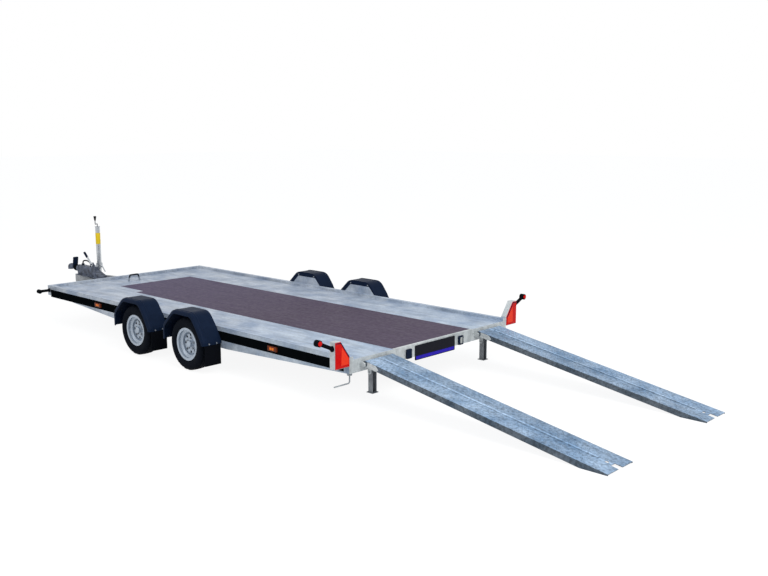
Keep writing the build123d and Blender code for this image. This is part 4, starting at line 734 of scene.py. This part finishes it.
# Number plate with a blue band along the bottom, and the window of the lamp beside it
BAND_END = 0.010
BAND_HEIGHTS = (0.007, 0.036)
BAND_LEVELS = (0.0050, 0.0066, 0.0070, 0.001)
LAMP_WINDOW = rectangle(-0.376, 0.314, -0.346, 0.370)
LAMP_WINDOW_LEVELS = (0.0130, 0.0145, 0.0152, 0.003)
plate_low, plate_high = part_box("number_plate")
band = rectangle(plate_low.y + BAND_END, plate_low.z + BAND_HEIGHTS[0],
                 plate_high.y - BAND_END, plate_low.z + BAND_HEIGHTS[1])
band_shape = plates([(band, *BAND_LEVELS)], on_rear(1))
mesh_piece("plate_band", band_shape, "chassis", PLATE_BLUE)
window_shape = plates([(LAMP_WINDOW, *LAMP_WINDOW_LEVELS)], on_rear(1))
mesh_piece("plate_lamp_window", window_shape, "chassis", LENS_CLEAR)

# Thin lap plate over the front corner of the board
LAP_PLATE = rectangle(REAR + 3.98, 0.450, REAR + 4.46, 0.541)
lap_levels = (DECK_TOP - 0.0005, DECK_TOP + 0.0012, DECK_TOP + 0.0020, 0.002)
lap_shape = plates([(LAP_PLATE, *lap_levels)], lambda x, y, z: (x, y, z))
mesh_piece("board_lap", lap_shape, "chassis", ZINC)

# Yellow sleeve on the jockey wheel's tube, as (height, radius)
SLEEVE = (
    (0.704, 0.0300), (0.704, 0.0310), (0.706, 0.0314), (0.852, 0.0314), (0.854, 0.0310), (0.854, 0.0300),
)
SLEEVE_STEPS = 40
jack = middle("jack_tube")
sleeve_shape = turned(SLEEVE, SLEEVE_STEPS, lambda z, u, v: (jack.x + u, jack.y + v, z))
mesh_piece("jack_band", sleeve_shape, "chassis", YELLOW, smooth=35.0)

# Camera fitted to the photo
CAMERA_PLACE = (REAR - 5.1488, 6.1837, 2.280)
CAMERA_YAW = -0.8198
CAMERA_PITCH = -0.1735
CAMERA_ROLL = 0.0014
camera_data = bpy.data.cameras.new("camera")
camera_data.sensor_width = 36.0
camera_data.sensor_fit = "HORIZONTAL"
camera_data.lens = 43.36
camera_data.clip_start = 0.05
camera_data.clip_end = 200.0
camera = new_object("camera", camera_data)
level = math.cos(CAMERA_PITCH)
forward = Vector((level * math.cos(CAMERA_YAW), level * math.sin(CAMERA_YAW), math.sin(CAMERA_PITCH)))
aim = forward.to_track_quat("-Z", "Y").to_matrix().to_4x4() @ Matrix.Rotation(CAMERA_ROLL, 4, "Z")
camera.matrix_world = Matrix.Translation(CAMERA_PLACE) @ aim
scene.camera = camera


# Floor and world
def seen_rays(tree):
    """1 for the rays that see the background: those of the camera, of reflections and of clear parts."""
    path = tree.nodes.new("ShaderNodeLightPath")
    first = tree.nodes.new("ShaderNodeMath")
    first.operation = "ADD"
    both = tree.nodes.new("ShaderNodeMath")
    both.operation = "ADD"
    both.use_clamp = True
    tree.links.new(path.outputs["Is Camera Ray"], first.inputs[0])
    tree.links.new(path.outputs["Is Glossy Ray"], first.inputs[1])
    tree.links.new(first.outputs["Value"], both.inputs[0])
    tree.links.new(path.outputs["Is Transmission Ray"], both.inputs[1])
    return both.outputs["Value"]


def plain_shader(tree, kind, colour, strength=None):
    """A shader of one colour; returns its output."""
    node = tree.nodes.new(kind)
    node.inputs["Color"].default_value = (*colour, 1.0)
    if strength is not None:
        node.inputs["Strength"].default_value = strength
    return node.outputs[0]


def seen_and_lit(tree, lit, seen, output):
    """Ends a tree in one shader that lights the object and one that is seen as the background."""
    mix = tree.nodes.new("ShaderNodeMixShader")
    out = tree.nodes.new(output)
    tree.links.new(seen_rays(tree), mix.inputs["Fac"])
    tree.links.new(lit, mix.inputs[1])
    tree.links.new(seen, mix.inputs[2])
    tree.links.new(mix.outputs["Shader"], out.inputs["Surface"])


def pale_floor():
    """A floor that is near white where it is seen, keeps a faint shadow and throws back a pale light."""
    half = 60.0
    height = -0.0005
    data = bpy.data.meshes.new("floor")
    corners = [(x, y, height) for x, y in rectangle(-half, -half, half, half)]
    data.from_pydata(corners, [], [(0, 1, 2, 3)])
    mat = bpy.data.materials.new("floor")
    mat.use_nodes = True
    tree = mat.node_tree
    tree.nodes.clear()
    bounce = plain_shader(tree, "ShaderNodeBsdfDiffuse", (0.62, 0.63, 0.64))
    shadow = plain_shader(tree, "ShaderNodeBsdfDiffuse", grey(0.16))
    white = plain_shader(tree, "ShaderNodeEmission", grey(1.0), 0.905)
    both = tree.nodes.new("ShaderNodeAddShader")
    tree.links.new(shadow, both.inputs[0])
    tree.links.new(white, both.inputs[1])
    seen_and_lit(tree, bounce, both.outputs["Shader"], "ShaderNodeOutputMaterial")
    data.materials.append(mat)
    return new_object("floor", data)


def white_world():
    """A world that is white where it is seen and a soft cool sky to the object."""
    world = bpy.data.worlds.new("world")
    world.use_nodes = True
    tree = world.node_tree
    tree.nodes.clear()
    sky = plain_shader(tree, "ShaderNodeBackground", (0.90, 0.95, 1.0), 0.60)
    white = plain_shader(tree, "ShaderNodeBackground", grey(1.0), 1.0)
    seen_and_lit(tree, sky, white, "ShaderNodeOutputWorld")
    return world


pale_floor()
scene.world = white_world()


# Lights
def area_light(name, place, target, size, power):
    """A square area light at a place, facing a target."""
    data = bpy.data.lights.new(name, "AREA")
    data.size = size
    data.energy = power
    lamp = new_object(name, data)
    facing = (Vector(target) - Vector(place)).to_track_quat("-Z", "Y").to_matrix().to_4x4()
    lamp.matrix_world = Matrix.Translation(place) @ facing


LIGHT_TARGET = (0.0, 0.0, 0.3)
area_light("key", (-7.0, 1.5, 6.5), LIGHT_TARGET, 5.0, 420)
area_light("fill", (1.0, 8.0, 5.0), LIGHT_TARGET, 6.0, 150)

scene.view_settings.view_transform = "Standard"
